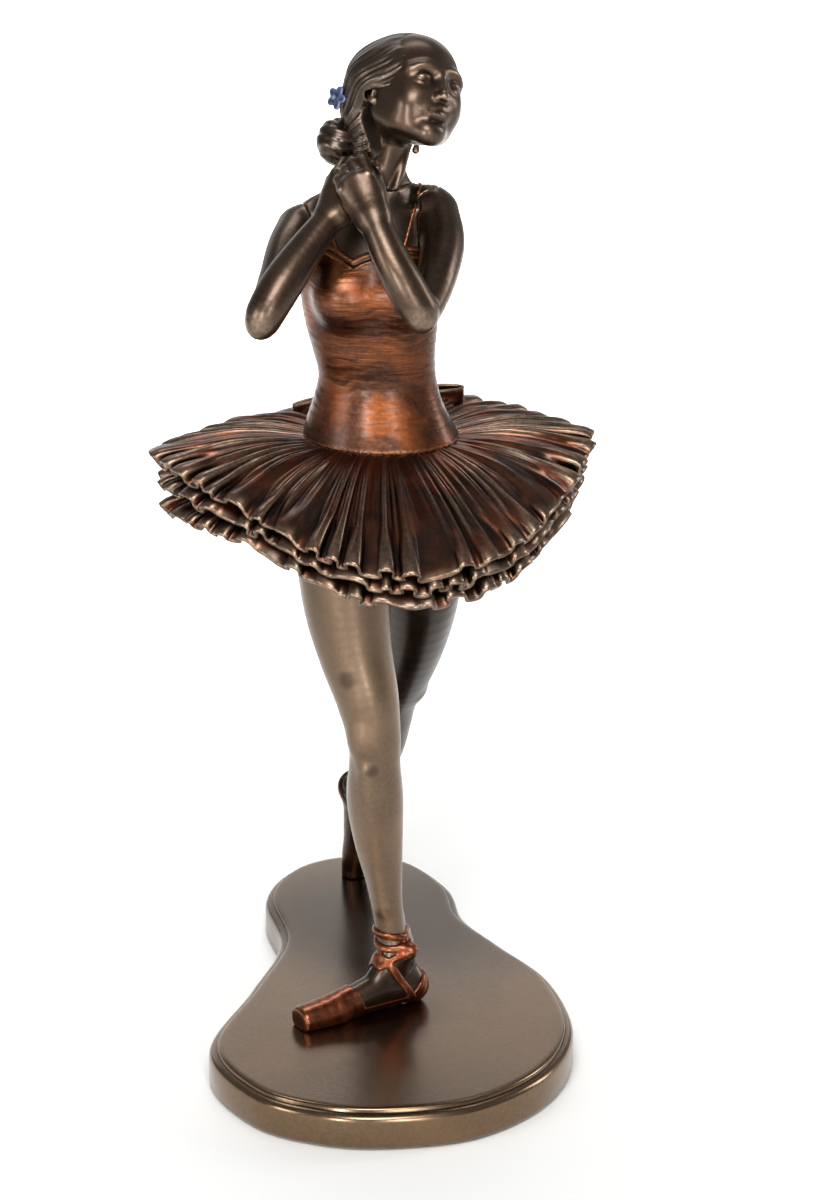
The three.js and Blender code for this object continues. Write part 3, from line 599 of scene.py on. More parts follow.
# Flat bands that hug the body where each plane's slab passes: point, normal, half width, and a limit.
def ribbonField(body, planes, wall=0.75):
    made = np.full(body.shape, 9.0)
    for point, normal, half, limit in planes:
        off = offPlane(point, normal) - half
        puff = 0.12 * np.cos(np.clip(off / half + 1, 0, 1) * 1.5)
        band = softMax(body - wall - puff, off, 0.3)
        made = np.minimum(made, np.maximum(band, limit))
    return np.maximum(made, -(body + 0.3))


anklePoint = np.array([3.6, -17.6, 0])
across = np.array([-footWay[1], footWay[0], 0])
forward = np.array([*footWay, 0])
openLimit = np.maximum(z - 32.5, top + 2.6 - z)  # between the ankle wrap and the slipper's edge
crossing = anklePoint + forward * 5 + (0, 0, 25.4)  # where the ribbons cross over the instep
ribbons = ribbonField(standingClay.field, [
    (anklePoint + (0, 0, 33.2), (0.14, 0.05, 1), 1.1, z - ribbonTop),
    (anklePoint + (0, 0, 31), (-0.12, -0.16, 1), 1.0, z - ribbonTop),
    (crossing, forward * 0.84 + across * 0.2 - (0, 0, 0.5), 1.15, openLimit),
    (crossing, forward * 0.4 - across * 0.16 + (0, 0, 0.9), 1.1, far - 16.8),
])
castPiece("standing_ankle_ribbon", standingClay, ribbons, slipperCopper, "costume_copper")

# trailing leg, on its toe
trailing = {
    "leg": [
        (11, 3, 158, 13.6), (12.5, 5, 142, 12.8), (13.8, 9.5, 126, 11.5), (12.8, 19, 108, 9.8),
        (10.5, 30, 92, 8.2), (8.9, 38, 82, 7.1), (7.8, 44.4, 73, 7.2), (6.6, 51, 62, 6.8),
        (5.4, 58.3, 51, 5), (4, 63.5, 43, 4.3),
    ],
    "foot": [
        (3.6, 65, 42, 4.2), (2.4, 68, 36, 4.6), (2.3, 69.4, 30, 4.6), (1.9, 70.2, 24.5, 4.2),
        (1, 70.8, 19, 3.8), (0.4, 71.2, 15, 3.3), (0.2, 71.3, 11, 3.1),
    ],
}
front = unit((0.75, -0.6, 0.27))
trailingClay = Clay((-14, -14, top - 3), (30, 82, 160), legCell)
trailingClay.add(tube(spline(trailing["leg"], 5)))
trailingClay.add(egg((5.2, 49, 72), (5.6, 5.6, 12), Matrix.Rotation(math.radians(30), 3, "X")), 4)
trailingClay.add(egg((14.6, 31.5, 88), (3, 3, 4)), 3)
trailingClay.add(tube(spline(trailing["foot"], 4)), 2.5)
trailingClay.add(egg((0.2, 71, 40.5), (3.8, 4.2, 4.6)), 2.5)  # heel
x, y, z = trailingClay.grid()
bareField = trailingClay.field
forwardOf = (x - 2) * front[0] + (y - 69) * front[1]
opening = softMax(1.2 - forwardOf, 26 - z, 2)
slipperField = softMax(bareField - 0.5, -opening, 0.3)
slipperField = softMax(slipperField, z - 41.5 - 0.3 * forwardOf, 0.3)
slipperField = np.maximum(softMax(slipperField, -(bareField + 0.5), 0.1), top - z)
castPiece("trailing_slipper", trailingClay, slipperField, shadedSlipper, "costume_copper")
legField = np.maximum(np.maximum(bareField, top + 0.6 - z), z - legTop)
castPiece("trailing_leg", trailingClay, legField, shadedTights, "tights_bronze", **legFinish)
ribbons = ribbonField(bareField, [
    ((4, 64.5, 45.5), (0.1, -0.5, 0.85), 1.2, z - ribbonTop),
    ((4.4, 64, 42.5), (0.5, -0.3, 0.8), 1.1, z - ribbonTop),
    ((4.4, 65, 40), (-0.35, -0.6, 0.7), 1.1, 30 - z),
])
castPiece("trailing_ankle_ribbon", trailingClay, ribbons, shadedSlipper, "costume_copper")

# upper body: torso, arms and neck in one clay, then parted
torsoRows = [  # x, y, height, half width, depth in front and behind
    (2, -3, 168, 21.4, 17, 18), (2, -3, seam, 21, 16.6, 17.5), (1.4, -3, 179, 19.2, 15, 15.4),
    (0.9, -4, 185, 17, 12.8, 13), (0.8, -4, 192, 15.5, 11.6, 11.6), (-0.1, -5, 199, 16.1, 11.8, 11.6),
    (-0.7, -5, 206, 17.3, 12.6, 11.8), (-1, -5.5, 213, 18.2, 13.6, 12), (-1.2, -5.5, 219, 18.4, 13.8, 12.2),
    (-1.2, -5, 225, 17.8, 12.2, 12), (-1, -4.5, 231, 16.6, 10, 11), (-0.8, -4, 236, 14.5, 8.2, 9.6),
    (0.4, -4, 240, 10, 6.6, 8), (2.2, -4, 245, 5.4, 5.4, 6),
]
rightShoulder, leftShoulder = np.array([-19.6, -4.4, 233.2]), np.array([16, -5, 236.4])
rightArmRows = [
    (-19.8, -4.4, 233.2, 6.2), (-23.4, -13, 229.8, 5.9), (-27.2, -24, 223.8, 5.3), (-31.4, -33.4, 217.4, 4.7),
    (-31, -35.4, 219.6, 5.2), (-26.4, -32.4, 226.4, 5.5), (-20.2, -27.8, 233.6, 4.8), (-14.8, -24, 239.4, 4),
    (-12.2, -22.3, 241.8, 3.7),
]
leftArmRows = [
    (16.4, -5, 236.9, 6.4), (17.4, -14, 231, 6), (14.6, -25, 224.4, 5.4), (10.2, -34, 218, 4.7),
    (8.8, -36.4, 219.6, 5), (5.2, -35.8, 226, 5.2), (2, -33.8, 232, 4.9), (-0.4, -31.2, 237.6, 4.4),
    (-2.4, -28.4, 242.6, 3.9),
]
rightHand = {
    "wrist": (-12.2, -22.3, 241.8), "along": (0.42, 0.44, 0.79), "back": (-0.3, -0.8, 0.5), "thumbSide": -1,
    "size": 0.84, "curl": [(20, 26, 16), (24, 30, 18), (26, 32, 20), (30, 34, 22)],
}
leftHand = {
    "wrist": (-2.4, -28.4, 242.2), "along": (-0.4, 0.36, 0.84), "back": (-0.24, -0.9, 0.3), "thumbSide": 1,
    "size": 0.84, "curl": [(44, 40, 22), (42, 40, 24), (38, 40, 22), (32, 36, 20)],
}


def sculptHand(clay, hand):
    far = unit(hand["along"])
    up = np.array(hand["back"]) - far * (np.array(hand["back"]) @ far)
    up = unit(up)
    side = np.cross(far, up) * hand["thumbSide"]
    wrist, size = np.array(hand["wrist"]), hand["size"]

    def at(a, b, c):
        return wrist + (side * a + far * b + up * c) * size

    def bead(a, b, c, radius):
        return (*at(a, b, c), radius * size)

    knuckles = [(-4.8, 12.2), (-1.7, 13.3), (1.5, 13.6), (4.6, 12.8)]
    for across, reach in knuckles:  # the back of the hand
        middle = bead(across * 0.85, 6, 0.3 - 0.05 * across ** 2, 2.9)
        knuckle = bead(across, reach, -0.04 * across ** 2, 2.15)
        clay.add(tube([bead(across * 0.5, 0, 0, 3.3), middle, knuckle]), 2.2)
    clay.add(egg(at(3, 5.4, -2), (2.3 * size, 3.6 * size, 2 * size)), 1.6)  # ball of the thumb
    lengths = [(5, 3.6, 3), (6.2, 4.3, 3.4), (6.8, 4.6, 3.5), (6.2, 4, 3.3)]
    for (across, reach), bones, curls in zip(knuckles, lengths, hand["curl"]):
        bend, spot, thick = 0.0, np.array([reach, 0.0]), 1.75
        before = bead(across, *spot, thick)
        for length, curl in zip(bones, curls):
            bend += math.radians(curl)
            spot = spot + length * np.array([math.cos(bend), -math.sin(bend)])
            thick -= 0.15
            after = bead(across * 1.02, *spot, thick)
            clay.add(tube([before, after]), 0.4)
            clay.add(egg(after[:3], (thick * size * 1.04,) * 3), 0.3)
            before = after
    thumb = [(2.2, 2, -1, 2.4), (5.4, 6.6, -2.2, 2), (6.4, 11, -3, 1.75), (6, 14.2, -3.8, 1.4)]
    clay.add(tube([bead(*row) for row in thumb]), 0.9)


bodyLow, bodyHigh, reachHigh = (-41, -46, 166), (28, 18, 256), (28, 18, 272)  # the arms reach above the neck
torsoClay = Clay(bodyLow, bodyHigh, bodyCell)
torsoClay.add(trunk(torsoRows, (-0.26, -0.97)))
for spot, halves in (((-9, -14.4, 217), (7.6, 6, 7.4)), ((6.4, -15.6, 217.6), (7.6, 6, 7.4))):
    torsoClay.add(egg(spot, halves), 4)
for rows in (
    [(2, -9, 238.6, 1), (-8, -9.6, 237.6, 1), (-17, -6.6, 236.8, 1.2)],  # collar bones
    [(3, -9, 238.8, 1), (10, -9.4, 238.6, 1), (15, -6.6, 239, 1.2)],
):
    torsoClay.add(tube(spline(rows, 4)), 1.8)
shoulderSlopes = (
    [(2.6, -0.6, 252, 3.4), (-4, -1, 243.6, 3.4), (-15, -2.6, 238, 3.6)],
    [(3.4, -0.6, 251, 3.4), (8.2, -1.6, 242.2, 3.2), (15, -3.6, 240.4, 3.5)],
)
for rows in shoulderSlopes:
    torsoClay.add(tube(spline(rows, 4)), 4)
for spot, halves in (((12, -1, 231), (5.4, 4.4, 9)), ((-14.6, -0.4, 228.6), (5.2, 4.4, 8.4))):
    torsoClay.add(egg(spot, halves), 4)  # back of each shoulder
neckRows = [(2, -4, 240, 6), (2.2, -4, 248, 5.4), (4, -3.5, 256, 5.4), (5, -3.2, 262, 5.6)]
torsoClay.add(tube(spline(neckRows, 4)), 3)
neckMuscles = (
    [(1.6, -9.4, 240.4, 0.9), (0.6, -8.4, 248, 1.2), (-0.8, -2, 259, 1.6)],
    [(3, -9.4, 240.4, 0.9), (6.6, -8.2, 248, 1.1), (10, -1.6, 259, 1.5)],
)
for rows in neckMuscles:
    torsoClay.add(tube(spline(rows, 5)), 1.4)
for spot in ((-9, 3.6, 225), (8.6, 3.4, 226)):
    torsoClay.add(egg(spot, (5.6, 3.4, 8)), 3)  # shoulder blades
spineRows = [(1.6, 9.4, 238, 1.2), (0, 8.6, 215, 1.3), (1, 8.4, 195, 1.3), (1.8, 14, 178, 1)]
torsoClay.cut(tube(spline(spineRows, 4)), 2.4)
armClays = []
for rows, hand, elbow in (
    (rightArmRows, rightHand, (-33, -36.6, 215.4)),
    (leftArmRows, leftHand, (9.6, -37.6, 216.4)),
):
    arm = Clay(bodyLow, reachHigh, bodyCell)
    arm.add(tube(spline(rows, 5)))
    arm.add(egg(elbow, (2.6, 2.6, 2.6)), 2.5)
    sculptHand(arm, hand)
    armClays.append(arm)
torsoField = np.full(armClays[0].field.shape, 20.0, np.float32)
torsoField[:, :, :torsoClay.field.shape[2]] = torsoClay.field
x, y, z = armClays[0].grid()
whole = torsoField
for arm, shoulder in zip(armClays, (rightShoulder, leftShoulder)):
    near = np.exp(-((x - shoulder[0]) ** 2 + (y - shoulder[1]) ** 2 + (z - shoulder[2]) ** 2) / 11 ** 2)
    blend = 0.15 + 4.5 * near
    share = np.clip(0.5 + 0.5 * (arm.field - whole) / blend, 0, 1)
    whole = arm.field * (1 - share) + whole * share - blend * share * (1 - share)
bodyClay = armClays[0]


# Height of the bodice's edge: a sweetheart dip in front, level and lower behind.
def neckline(x, y):
    dip = np.interp(x, [-24, -14, -9.5, -6.6, -3.6, 4.5, 24], [227, 230.4, 228.6, 227, 228.4, 230.6, 227])
    return dip + (221 - dip) * smoothStep(y, -10, 2)


edge = neckline(x + 0 * y, y + 0 * x)

# bodice: a gathered skin a little outside the body, below the neckline
around = np.arctan2(y + 4, x - 0.5)
phase = z * 2.3 + 1.9 * np.sin(2 * around + z * 0.17) + 1.3 * np.sin(5 * around - z * 0.12)
phase = phase + 1.1 * np.sin(11 * around + z * 0.31)
patch = 0.5 + 0.5 * np.sin(3 * around + z * 0.23 + 1.1 + 0.8 * np.sin(z * 0.5))
fineGather = 0.35 * (0.5 + 0.5 * np.sin(phase * 1.7 + 4 * around)) ** 3
gather = (0.5 + 0.5 * np.sin(phase)) ** 2 * patch + fineGather * (1 - patch)
gather = gather * smoothStep(z, seam + 2, seam + 8) * (1 - 0.7 * smoothStep(z, 210, 222))
bodiceField = softMax(torsoField - 0.5 - 0.14 * gather, z - edge, 0.25)
bodiceField = np.maximum(bodiceField, seam + 0.1 - z)
castPiece("bodice", bodyClay, bodiceField, bodiceCopper, "bodice_copper", smooth=2, proud=0.06, passes=8)


# A skin from a little inside the torso to a little outside it.
def shell(inner, outer):
    return softMax(torsoField - outer, -(torsoField + inner), 0.1)


armRoom = np.minimum(armClays[0].field, armClays[1].field)
beads = 0.4 + 0.6 * (np.exp(-((z - edge) / 0.45) ** 2) + np.exp(-((z - edge + 1.8) / 0.42) ** 2))
trim = softMax(shell(0.3, beads), abs(z - edge + 0.9) - 1.7, 0.3)
castPiece("neckline_trim", bodyClay, trim, bodiceCopper, "bodice_copper")
stitches = 0.66 + 0.07 * np.cos(around * 64)
piping = softMax(shell(0.3, stitches), abs(z - seam - 0.9) - 0.5, 0.4)
castPiece("waist_piping", bodyClay, piping, bodiceCopper, "bodice_copper")
straps = {
    "right_strap": {"point": (-11.8, -10, 236), "normal": (1, 0.1, 0.1)},
    "left_strap": {"point": (9.4, -10, 236), "normal": (1, -0.1, -0.3)},
}
for node, where in straps.items():
    off = offPlane(where["point"], where["normal"]) - 0.6
    strap = softMax(softMax(torsoField - 0.5, off, 0.3), -(torsoField + 0.4), 0.1)
    strap = np.maximum(strap, np.maximum(edge - 0.4 - z, 0.3 - armRoom))
    castPiece(node, bodyClay, strap, bodiceCopper, "bodice_copper")

# head, turned and tipped about its centre
turn = Matrix.Rotation(math.radians(head["turn"]), 3, "Z")
tip = Matrix.Rotation(math.radians(-head["tip"]), 3, "X")
roll = Matrix.Rotation(math.radians(head["roll"]), 3, "Y")
headAxes = np.array(turn @ tip @ roll)
headCentre = np.array(head["centre"], float)


def ofHead(p):
    return headCentre + headAxes @ np.array(p[:3], float) * head["size"]


def headEgg(centre, halves, lean=None):
    axes = headAxes if lean is None else headAxes @ np.array(lean)
    return egg(ofHead(centre), np.array(halves) * head["size"], axes)


def headTube(rows):
    placed = [(*ofHead(row), row[3] * head["size"]) for row in rows]
    return tube(spline(placed, 4) if len(rows) > 2 else placed)


def mirrored(rows):
    return [(-row[0], *row[1:]) for row in rows]


headClay = Clay(headCentre - (27, 24, 28), headCentre + (24, 26, 22), headCell)
face = [
    ("add", "egg", (0, 1.2, 3.4), (11.4, 14.4, 12.9), 0),  # skull
    ("add", "egg", (0, -4, -3), (9, 9.2, 9.8), 5),  # face
    ("add", "egg", (4.8, -7.6, -4.6), (3.8, 3.6, 4.4), 4),  # cheek
    ("add", "egg", (0, -10.4, -11.6), (2.8, 2.3, 2.1), 3),  # chin
    ("add", "tube", [(7.4, 0.2, -6.4, 2.2), (5.4, -5.2, -9.8, 2.2), (1.4, -9.6, -11.8, 2)], None, 4),  # jaw
    ("add", "tube", [(1.4, -12.6, 3.4, 0.7), (4.8, -12.1, 4.1, 0.7), (7.6, -9.9, 3, 0.7)], None, 2.4),  # brow
    ("cut", "egg", (4.5, -14.5, 0.9), (3.2, 1.8, 1.8), 2.8),  # eye socket
    ("add", "egg", (4.4, -10.7, 0.6), (2, 2, 1.9), 0.5),  # eyeball
    ("add", "egg", (4.4, -10.75, 1.1), (2.35, 2.25, 1.45), 0.25),  # lowered lid
    (
        "add", "tube",
        [(2.6, -12.1, 0.1, 0.24), (3.9, -12.5, -0.6, 0.26), (5.4, -12.3, -0.6, 0.26), (6.6, -11.2, 0.1, 0.24)],
        None, 0.5,  # edge of the lower lid
    ),
]
for step, kind, place, halves, blend in face:
    for sign in (1, -1):
        rows = place if kind == "tube" else [place]
        rows = rows if sign == 1 else mirrored(rows)
        made = headTube(rows) if kind == "tube" else headEgg(rows[0], halves)
        (headClay.add if step == "add" else headClay.cut)(made, blend)
        if kind == "egg" and place[0] == 0:
            break
headClay.add(headTube([(0, -12.7, 2.2, 0.7), (0, -13.8, -0.8, 0.85), (0, -15, -3.2, 1)]), 1.8)  # nose
headClay.add(headEgg((0, -15, -3.5), (1.15, 1.05, 0.95)), 0.8)
for sign in (-1, 1):
    headClay.add(headEgg((1.35 * sign, -13.8, -3.9), (0.85, 1.05, 0.75)), 0.9)
    headClay.cut(headEgg((0.7 * sign, -14.4, -4.6), (0.36, 0.5, 0.35)), 0.3)
headClay.add(headEgg((0, -11.4, -6.8), (3.4, 1.9, 2.4)), 2.2)
lipTop = [
    (-2.7, -12.2, -7.1, 0.35), (-0.9, -13.3, -6.5, 0.5), (0, -13.3, -6.65, 0.48), (0.9, -13.3, -6.5, 0.5),
    (2.7, -12.2, -7.1, 0.35),
]
headClay.add(headTube(lipTop), 0.6)
headClay.add(headTube([(-2.4, -12.2, -7.5, 0.35), (0, -13.1, -7.9, 0.72), (2.4, -12.2, -7.5, 0.35)]), 0.6)
headClay.cut(headTube([(-2.8, -12.9, -7.2, 0.16), (0, -13.9, -7.2, 0.18), (2.8, -12.9, -7.2, 0.16)]), 0.35)
headClay.cut(headEgg((0, -13.9, -9.5), (2, 1.3, 0.7)), 1.2)
for sign in (-1, 1):  # ears
    lean = Matrix.Rotation(math.radians(22 * sign), 3, "Z")
    headClay.add(headEgg((10.9 * sign, 1.4, -1), (1, 2.1, 3.2), lean), 0.8)
    headClay.cut(headEgg((12 * sign, 0.9, -0.8), (0.8, 1.1, 1.9), lean), 0.6)
    headClay.add(headEgg((10.9 * sign, 0.2, -3.9), (0.8, 0.9, 1)), 0.6)
x, y, z = headClay.grid()
neckPart = Clay(headClay.low, headCentre + (24, 26, 22), headCell)
neckRows = [(2, -4, 238, 6), (2.2, -4, 248, 5.2), (4, -3.5, 256, 5.2), (6.6, -2.8, 263, 5.8)]
neckPart.add(tube(spline(neckRows, 4)))
for rows in shoulderSlopes:
    neckPart.add(tube(spline(rows, 4)), 4)
for rows in neckMuscles:
    neckPart.add(tube(spline(rows, 5)), 1.4)
own = [  # the grid in the head's own x, y and z
    sum(headAxes[j][i] * (v - headCentre[j]) for j, v in enumerate((x, y, z))) / head["size"] for i in range(3)
]
headField = softMin(headClay.field, neckPart.field, 2.6)

# hair: a cap combed back in strands to the bun, low at the back on her right
bunSpot = headAxes.T @ np.array([-18.9, 3.6, -12.4]) / head["size"]
bunWay = unit(bunSpot - (0, 1.2, 3.2))
strandX = unit(np.cross(bunWay, (0, 0, 1)))
strandY = np.cross(bunWay, strandX)
skullOff = [own[0], own[1] - 1.2, own[2] - 3.2]
along, sideA, sideB = [sum(w[i] * skullOff[i] for i in range(3)) for w in (bunWay, strandX, strandY)]
swirl = np.arctan2(sideB, sideA)
reach = np.sqrt(along ** 2 + sideA ** 2 + sideB ** 2) + 1e-6
polar = np.arccos(np.clip(along / reach, -1, 1))
lock = 19 * swirl + 1.2 * np.sin(3 * swirl + 2 * polar) + 1.1 * np.sin(5 * polar + 2 * swirl)
strands = 0.26 * (1 - abs(np.sin(lock * 0.5)) ** 0.8) + 0.1 * np.sin(2.7 * lock + 3 * polar)
hairline = own[1] + 12 - 0.72 * (own[2] - 3) - 0.014 * own[0] ** 2 + 0.2 * np.sin(swirl * 17)
capField = headEgg((0, 1.7, 3.5), (12, 15.1, 13.5))[2](x, y, z)
capField = capField + strands * smoothStep(hairline, 0, 5) + 0.45 * (1 - smoothStep(hairline, -0.5, 3))
nape = headEgg((-3, 9, -6), (9, 7.6, 6.5))[2](x, y, z) + strands
nape = softMin(nape, egg(headCentre + (-11.4, -0.2, -12.6), (4.8, 4.6, 6))[2](x, y, z) + strands, 2)
capField = softMin(capField, nape, 2)
twist = egg(headCentre + (-10.6, 3.6, -2.6), (8, 7.5, 9))[2](x, y, z) + strands * 1.6
capField = softMin(capField, twist, 2)
capField = softMin(capField, egg(headCentre + (-5.4, 3, 4.6), (11.4, 11, 10))[2](x, y, z) + strands, 3)
hairField = softMax(capField, -hairline, 0.5)
lowEdge = -(own[2] + 3.4 + 0.62 * np.maximum(own[1] - 2, -3)) - 14 * smoothStep(own[1], 4, 9)
hairField = softMax(hairField, lowEdge, 0.6)
hairField = np.maximum(hairField, -(headField + 0.9))
earRoom = np.minimum(*[headEgg((11.4 * s, 1, -1), (1.4, 1.8, 3.1))[2](x, y, z) for s in (-1, 1)])
hairField = softMax(hairField, -earRoom, 0.4)
castPiece("hair", headClay, hairField, hairBronze, "hair_bronze", smooth=1, proud=0.09, passes=8)

bunOff = [own[i] - bunSpot[i] for i in range(3)]
bunAlong, bunA, bunB = [sum(w[i] * bunOff[i] for i in range(3)) for w in (bunWay, strandX, strandY)]
coil = np.arctan2(bunB, bunA)
bunPolar = np.arctan2(np.sqrt(bunA ** 2 + bunB ** 2), bunAlong)
twist = 0.45 * abs(np.sin(1.5 * coil + 3.1 * bunPolar)) ** 0.7 + 0.12 * np.sin(9 * coil + 12 * bunPolar)
bunField = egg(ofHead(bunSpot), (5.8, 5.6, 6.4), headAxes)[2](x, y, z) + 0.3 - twist
bunField = np.maximum(bunField, -(headField + 0.3))
castPiece("hair_bun", headClay, bunField, hairBronze, "hair_bronze", smooth=1, proud=0.09, passes=8)

# flower: five cupped petals round a button
flowerSpot = headAxes.T @ np.array([-19.4, 2.4, -0.2]) / head["size"]
flowerWay = headAxes.T @ unit((-0.72, -0.62, 0.3))
flowerX = unit(np.cross(flowerWay, (0, 0, 1)))
flowerY = np.cross(flowerWay, flowerX)
flowerField = egg(ofHead(flowerSpot + flowerWay * 0.9), (0.8,) * 3, headAxes)[2](x, y, z)
for k in range(5):
    angle = 2 * math.pi * k / 5 + 0.3
    out = flowerX * math.cos(angle) + flowerY * math.sin(angle)
    sideways = np.cross(flowerWay, out)
    lean = headAxes @ np.stack([out, sideways, np.cross(out, sideways)], 1)
    petal = egg(ofHead(flowerSpot + out * 1.75), (1.6, 1.25, 0.62), lean)[2](x, y, z)
    hollow = egg(ofHead(flowerSpot + out * 1.9 + flowerWay * 0.9), (1.3, 0.9, 0.7), lean)[2](x, y, z)
    flowerField = softMin(flowerField, softMax(petal, -hollow, 0.3), 0.15)
castPiece("hair_flower", headClay, flowerField, flowerBlue, "flower_blue", smooth=1, proud=0.06, passes=6)

# earring: a drop on a wire from her left ear
dropRows = [((4.4, 1.3, -9), 0.4), ((2, 1.1, -12.6), 0.5), ((1.6, 1, -14), 0.95), ((1.5, 1, -14.6), 1.1)]
drop = tube([(*(headCentre + place), radius) for place, radius in dropRows])
castPiece("earring", headClay, drop[2](x, y, z), skinBronze, "skin_bronze", proud=0.06, passes=6)

headField = np.maximum(headField, neckCut - z)
castPiece("head", headClay, headField, skinBronze, "skin_bronze", smooth=5, proud=0.09)

# chest and arms, parted where each field is the nearer
x, y, z = bodyClay.grid()
rightField, leftField = armClays[0].field, armClays[1].field
chestSide = np.maximum(torsoField - rightField, torsoField - leftField) * 0.5
chestField = np.maximum(np.maximum(whole, chestSide), np.maximum(edge - 1.2 - z, z - neckCut))
castPiece("chest", bodyClay, chestField, skinBronze, "skin_bronze", smooth=5, proud=0.12, passes=12)
for node, armField, other, elbow in (
    ("right_arm", rightField, leftField, (-33, -37, 217)),
    ("left_arm", leftField, rightField, (9, -40, 217)),
):
    side = np.maximum(armField - torsoField, armField - other) * 0.5
    piece = cast(node + "_casting", bodyClay, np.maximum(whole, side), 4)
    # brighter rubbed metal round each elbow: worn metal, and partly a painted highlight
    wearAndPaintedLight = np.exp(-(np.linalg.norm(coordinates(piece) / mm - elbow, axis=1) / 5.5) ** 2)
    markWear(piece, 0.12, 12, extra=0.5 + 0.5 * wearAndPaintedLight)
    finishPiece(piece, skinBronze, "skin_bronze", node)

# skirt: the hem's rows are x, y, height, and how far the lowest layer hangs below the top one
hemline = [
    (59.5, -3, 171.5, 12), (50, -28, 165, 11), (33, -49, 157, 10), (9, -59, 153.5, 9.5),
    (-14, -54, 156, 9.5), (-35, -38, 164, 10), (-51, -22, 169.5, 13.5), (-60, -3, 171, 15.5),
    (-49, 12, 170.5, 13), (-32, 27, 169.5, 11), (-8, 38, 168.5, 9.5), (17, 39, 170, 9.5),
    (37, 29, 171.5, 9.5), (53, 13, 171, 11),
]
hemLoop = spline(hemline, 60, closed=True)
hemLoop = np.vstack([hemLoop, hemLoop[:1]])
skirtThickness = 0.75
skirtLayers = {
    "skirt_top_casting": {
        "node": "skirt_top_layer", "level": 0.0, "waves": 42, "rise": 1.5, "ruffle": 1.5, "swing": 0.85,
        "columns": 1060, "rows": 46, "seed": 0.0, "start": -1.8,
    },
    "skirt_middle_casting": {
        "node": "skirt_middle_layer", "level": 0.5, "waves": 39, "rise": 1.0, "ruffle": 1.3, "swing": 0.85,
        "columns": 960, "rows": 36, "seed": 1.7, "start": 3.2,
    },
    "skirt_under_casting": {
        "node": "skirt_under_layer", "level": 1.0, "waves": 36, "rise": 1.0, "ruffle": 1.3, "swing": 0.85,
        "columns": 960, "rows": 36, "seed": 3.1, "start": 3.2,
    },
}
waist = {"centre": (2, -3), "halves": (22, 18.2)}  # the oval that every layer starts from


# pleats that turn into ruffles at the rim; seed shifts one layer's folds from the next one's
def flounce(shape):
    level, seed = shape["level"], shape["seed"]

    def place(u, v):
        end = sample(hemLoop, u)
        after = sample(hemLoop, (u + 0.004) % 1)
        along = after[:, :2] - end[:, :2]
        along = along / np.linalg.norm(along, axis=1)[:, None]
        angle = np.arctan2(end[:, 1] + 3, end[:, 0] - 1)
        start = np.column_stack([
            waist["centre"][0] + (waist["halves"][0] + shape["start"]) * np.cos(angle),
            waist["centre"][1] + (waist["halves"][1] + shape["start"]) * np.sin(angle),
            np.full(len(u), seam + 0.3 - 9 * level),
        ])
        shrink = 1 - 0.05 * level
        finish = np.column_stack([end[:, 0] * shrink, end[:, 1] * shrink, end[:, 2] - end[:, 3] * level])
        spot = start + (finish - start) * v[:, None]
        turn = 2 * math.pi * u
        wander = 0.05 * np.sin(3 * turn + seed) + 0.04 * np.sin(7 * turn + 2 * seed)
        wander = wander + 0.025 * np.sin(17 * turn + seed * 3)
        bend = 0.35 * np.sin(2.4 * v + 4 * turn) + 0.3 * np.sin(5 * v + 9 * turn + seed)
        phase = shape["waves"] * (turn + wander) + bend
        uneven = 0.6 + 0.28 * np.sin(5 * turn + seed) + 0.22 * np.sin(13 * turn + 2.2 + seed)
        uneven = uneven + 0.12 * np.sin(29 * turn + seed)
        ridge = 1 - 2 * abs(np.sin(phase / 2)) ** 0.8
        small = 1 - 2 * abs(np.sin(phase + 0.9 + 0.5 * np.sin(7 * turn))) ** 0.8
        creases = np.sin(3.3 * phase + 2 * v + seed) * smoothStep(v, 0, 0.2) * (1 - smoothStep(v, 0.6, 0.85))
        body = 0.3 + 0.7 * smoothStep(v, 0.0, 0.5)
        lift = 2.6 * np.sin(math.pi * v)
        fade = 1 - 0.9 * smoothStep(v, 0.7, 0.97)
        pleats = 0.7 * ridge * uneven + 0.42 * small * (1.3 - uneven) + 0.12 * creases
        lift = lift + shape["rise"] * body * fade * pleats
        ruffle = smoothStep(v, 0.62, 1.0)
        strength = 0.4 + 0.7 * uneven
        loop = np.cos(phase) + 0.28 * np.cos(0.5 * phase + 5 * turn + seed)
        lift = lift + shape["ruffle"] * ruffle * strength * loop
        rim = smoothStep(v, 0.94, 1.0)
        lift = lift - 0.5 * rim
        swing = ruffle * (shape["swing"] * strength * np.sin(2 * phase) + 0.35 * np.cos(1.5 * phase + seed))
        outward = np.column_stack([along[:, 1], -along[:, 0]])
        push = -1.1 * ruffle * strength * np.cos(phase) + 0.5 * ruffle * np.cos(phase * 0.5 + seed)
        spot[:, :2] += along * swing[:, None] + outward * push[:, None]
        spot[:, 2] += lift
        return spot

    return place


for name, shape in skirtLayers.items():
    skirt = sheet(name, shape["columns"], shape["rows"], flounce(shape), skirtThickness)
    markWear(skirt, 0.3, 14)
    around, outward, wear = [getAttribute(skirt, key) for key in ("around", "outward", "wear")]
    # the worn rim is bright; lower layers get less of it, a painted shade under the top layer
    wearAndPaintedLight = 0.8 - 0.12 * shape["level"] + 0.14 * np.sin(around * 61 + shape["seed"])
    wearAndPaintedLight = wearAndPaintedLight + 0.1 * np.sin(around * 143)
    setAttribute(skirt, "wear", np.maximum(wear, smoothStep(outward, 0.982, 0.999) * wearAndPaintedLight))  # the worn rim
    finishPiece(skirt, skirtCopper, "skirt_copper", shape["node"])

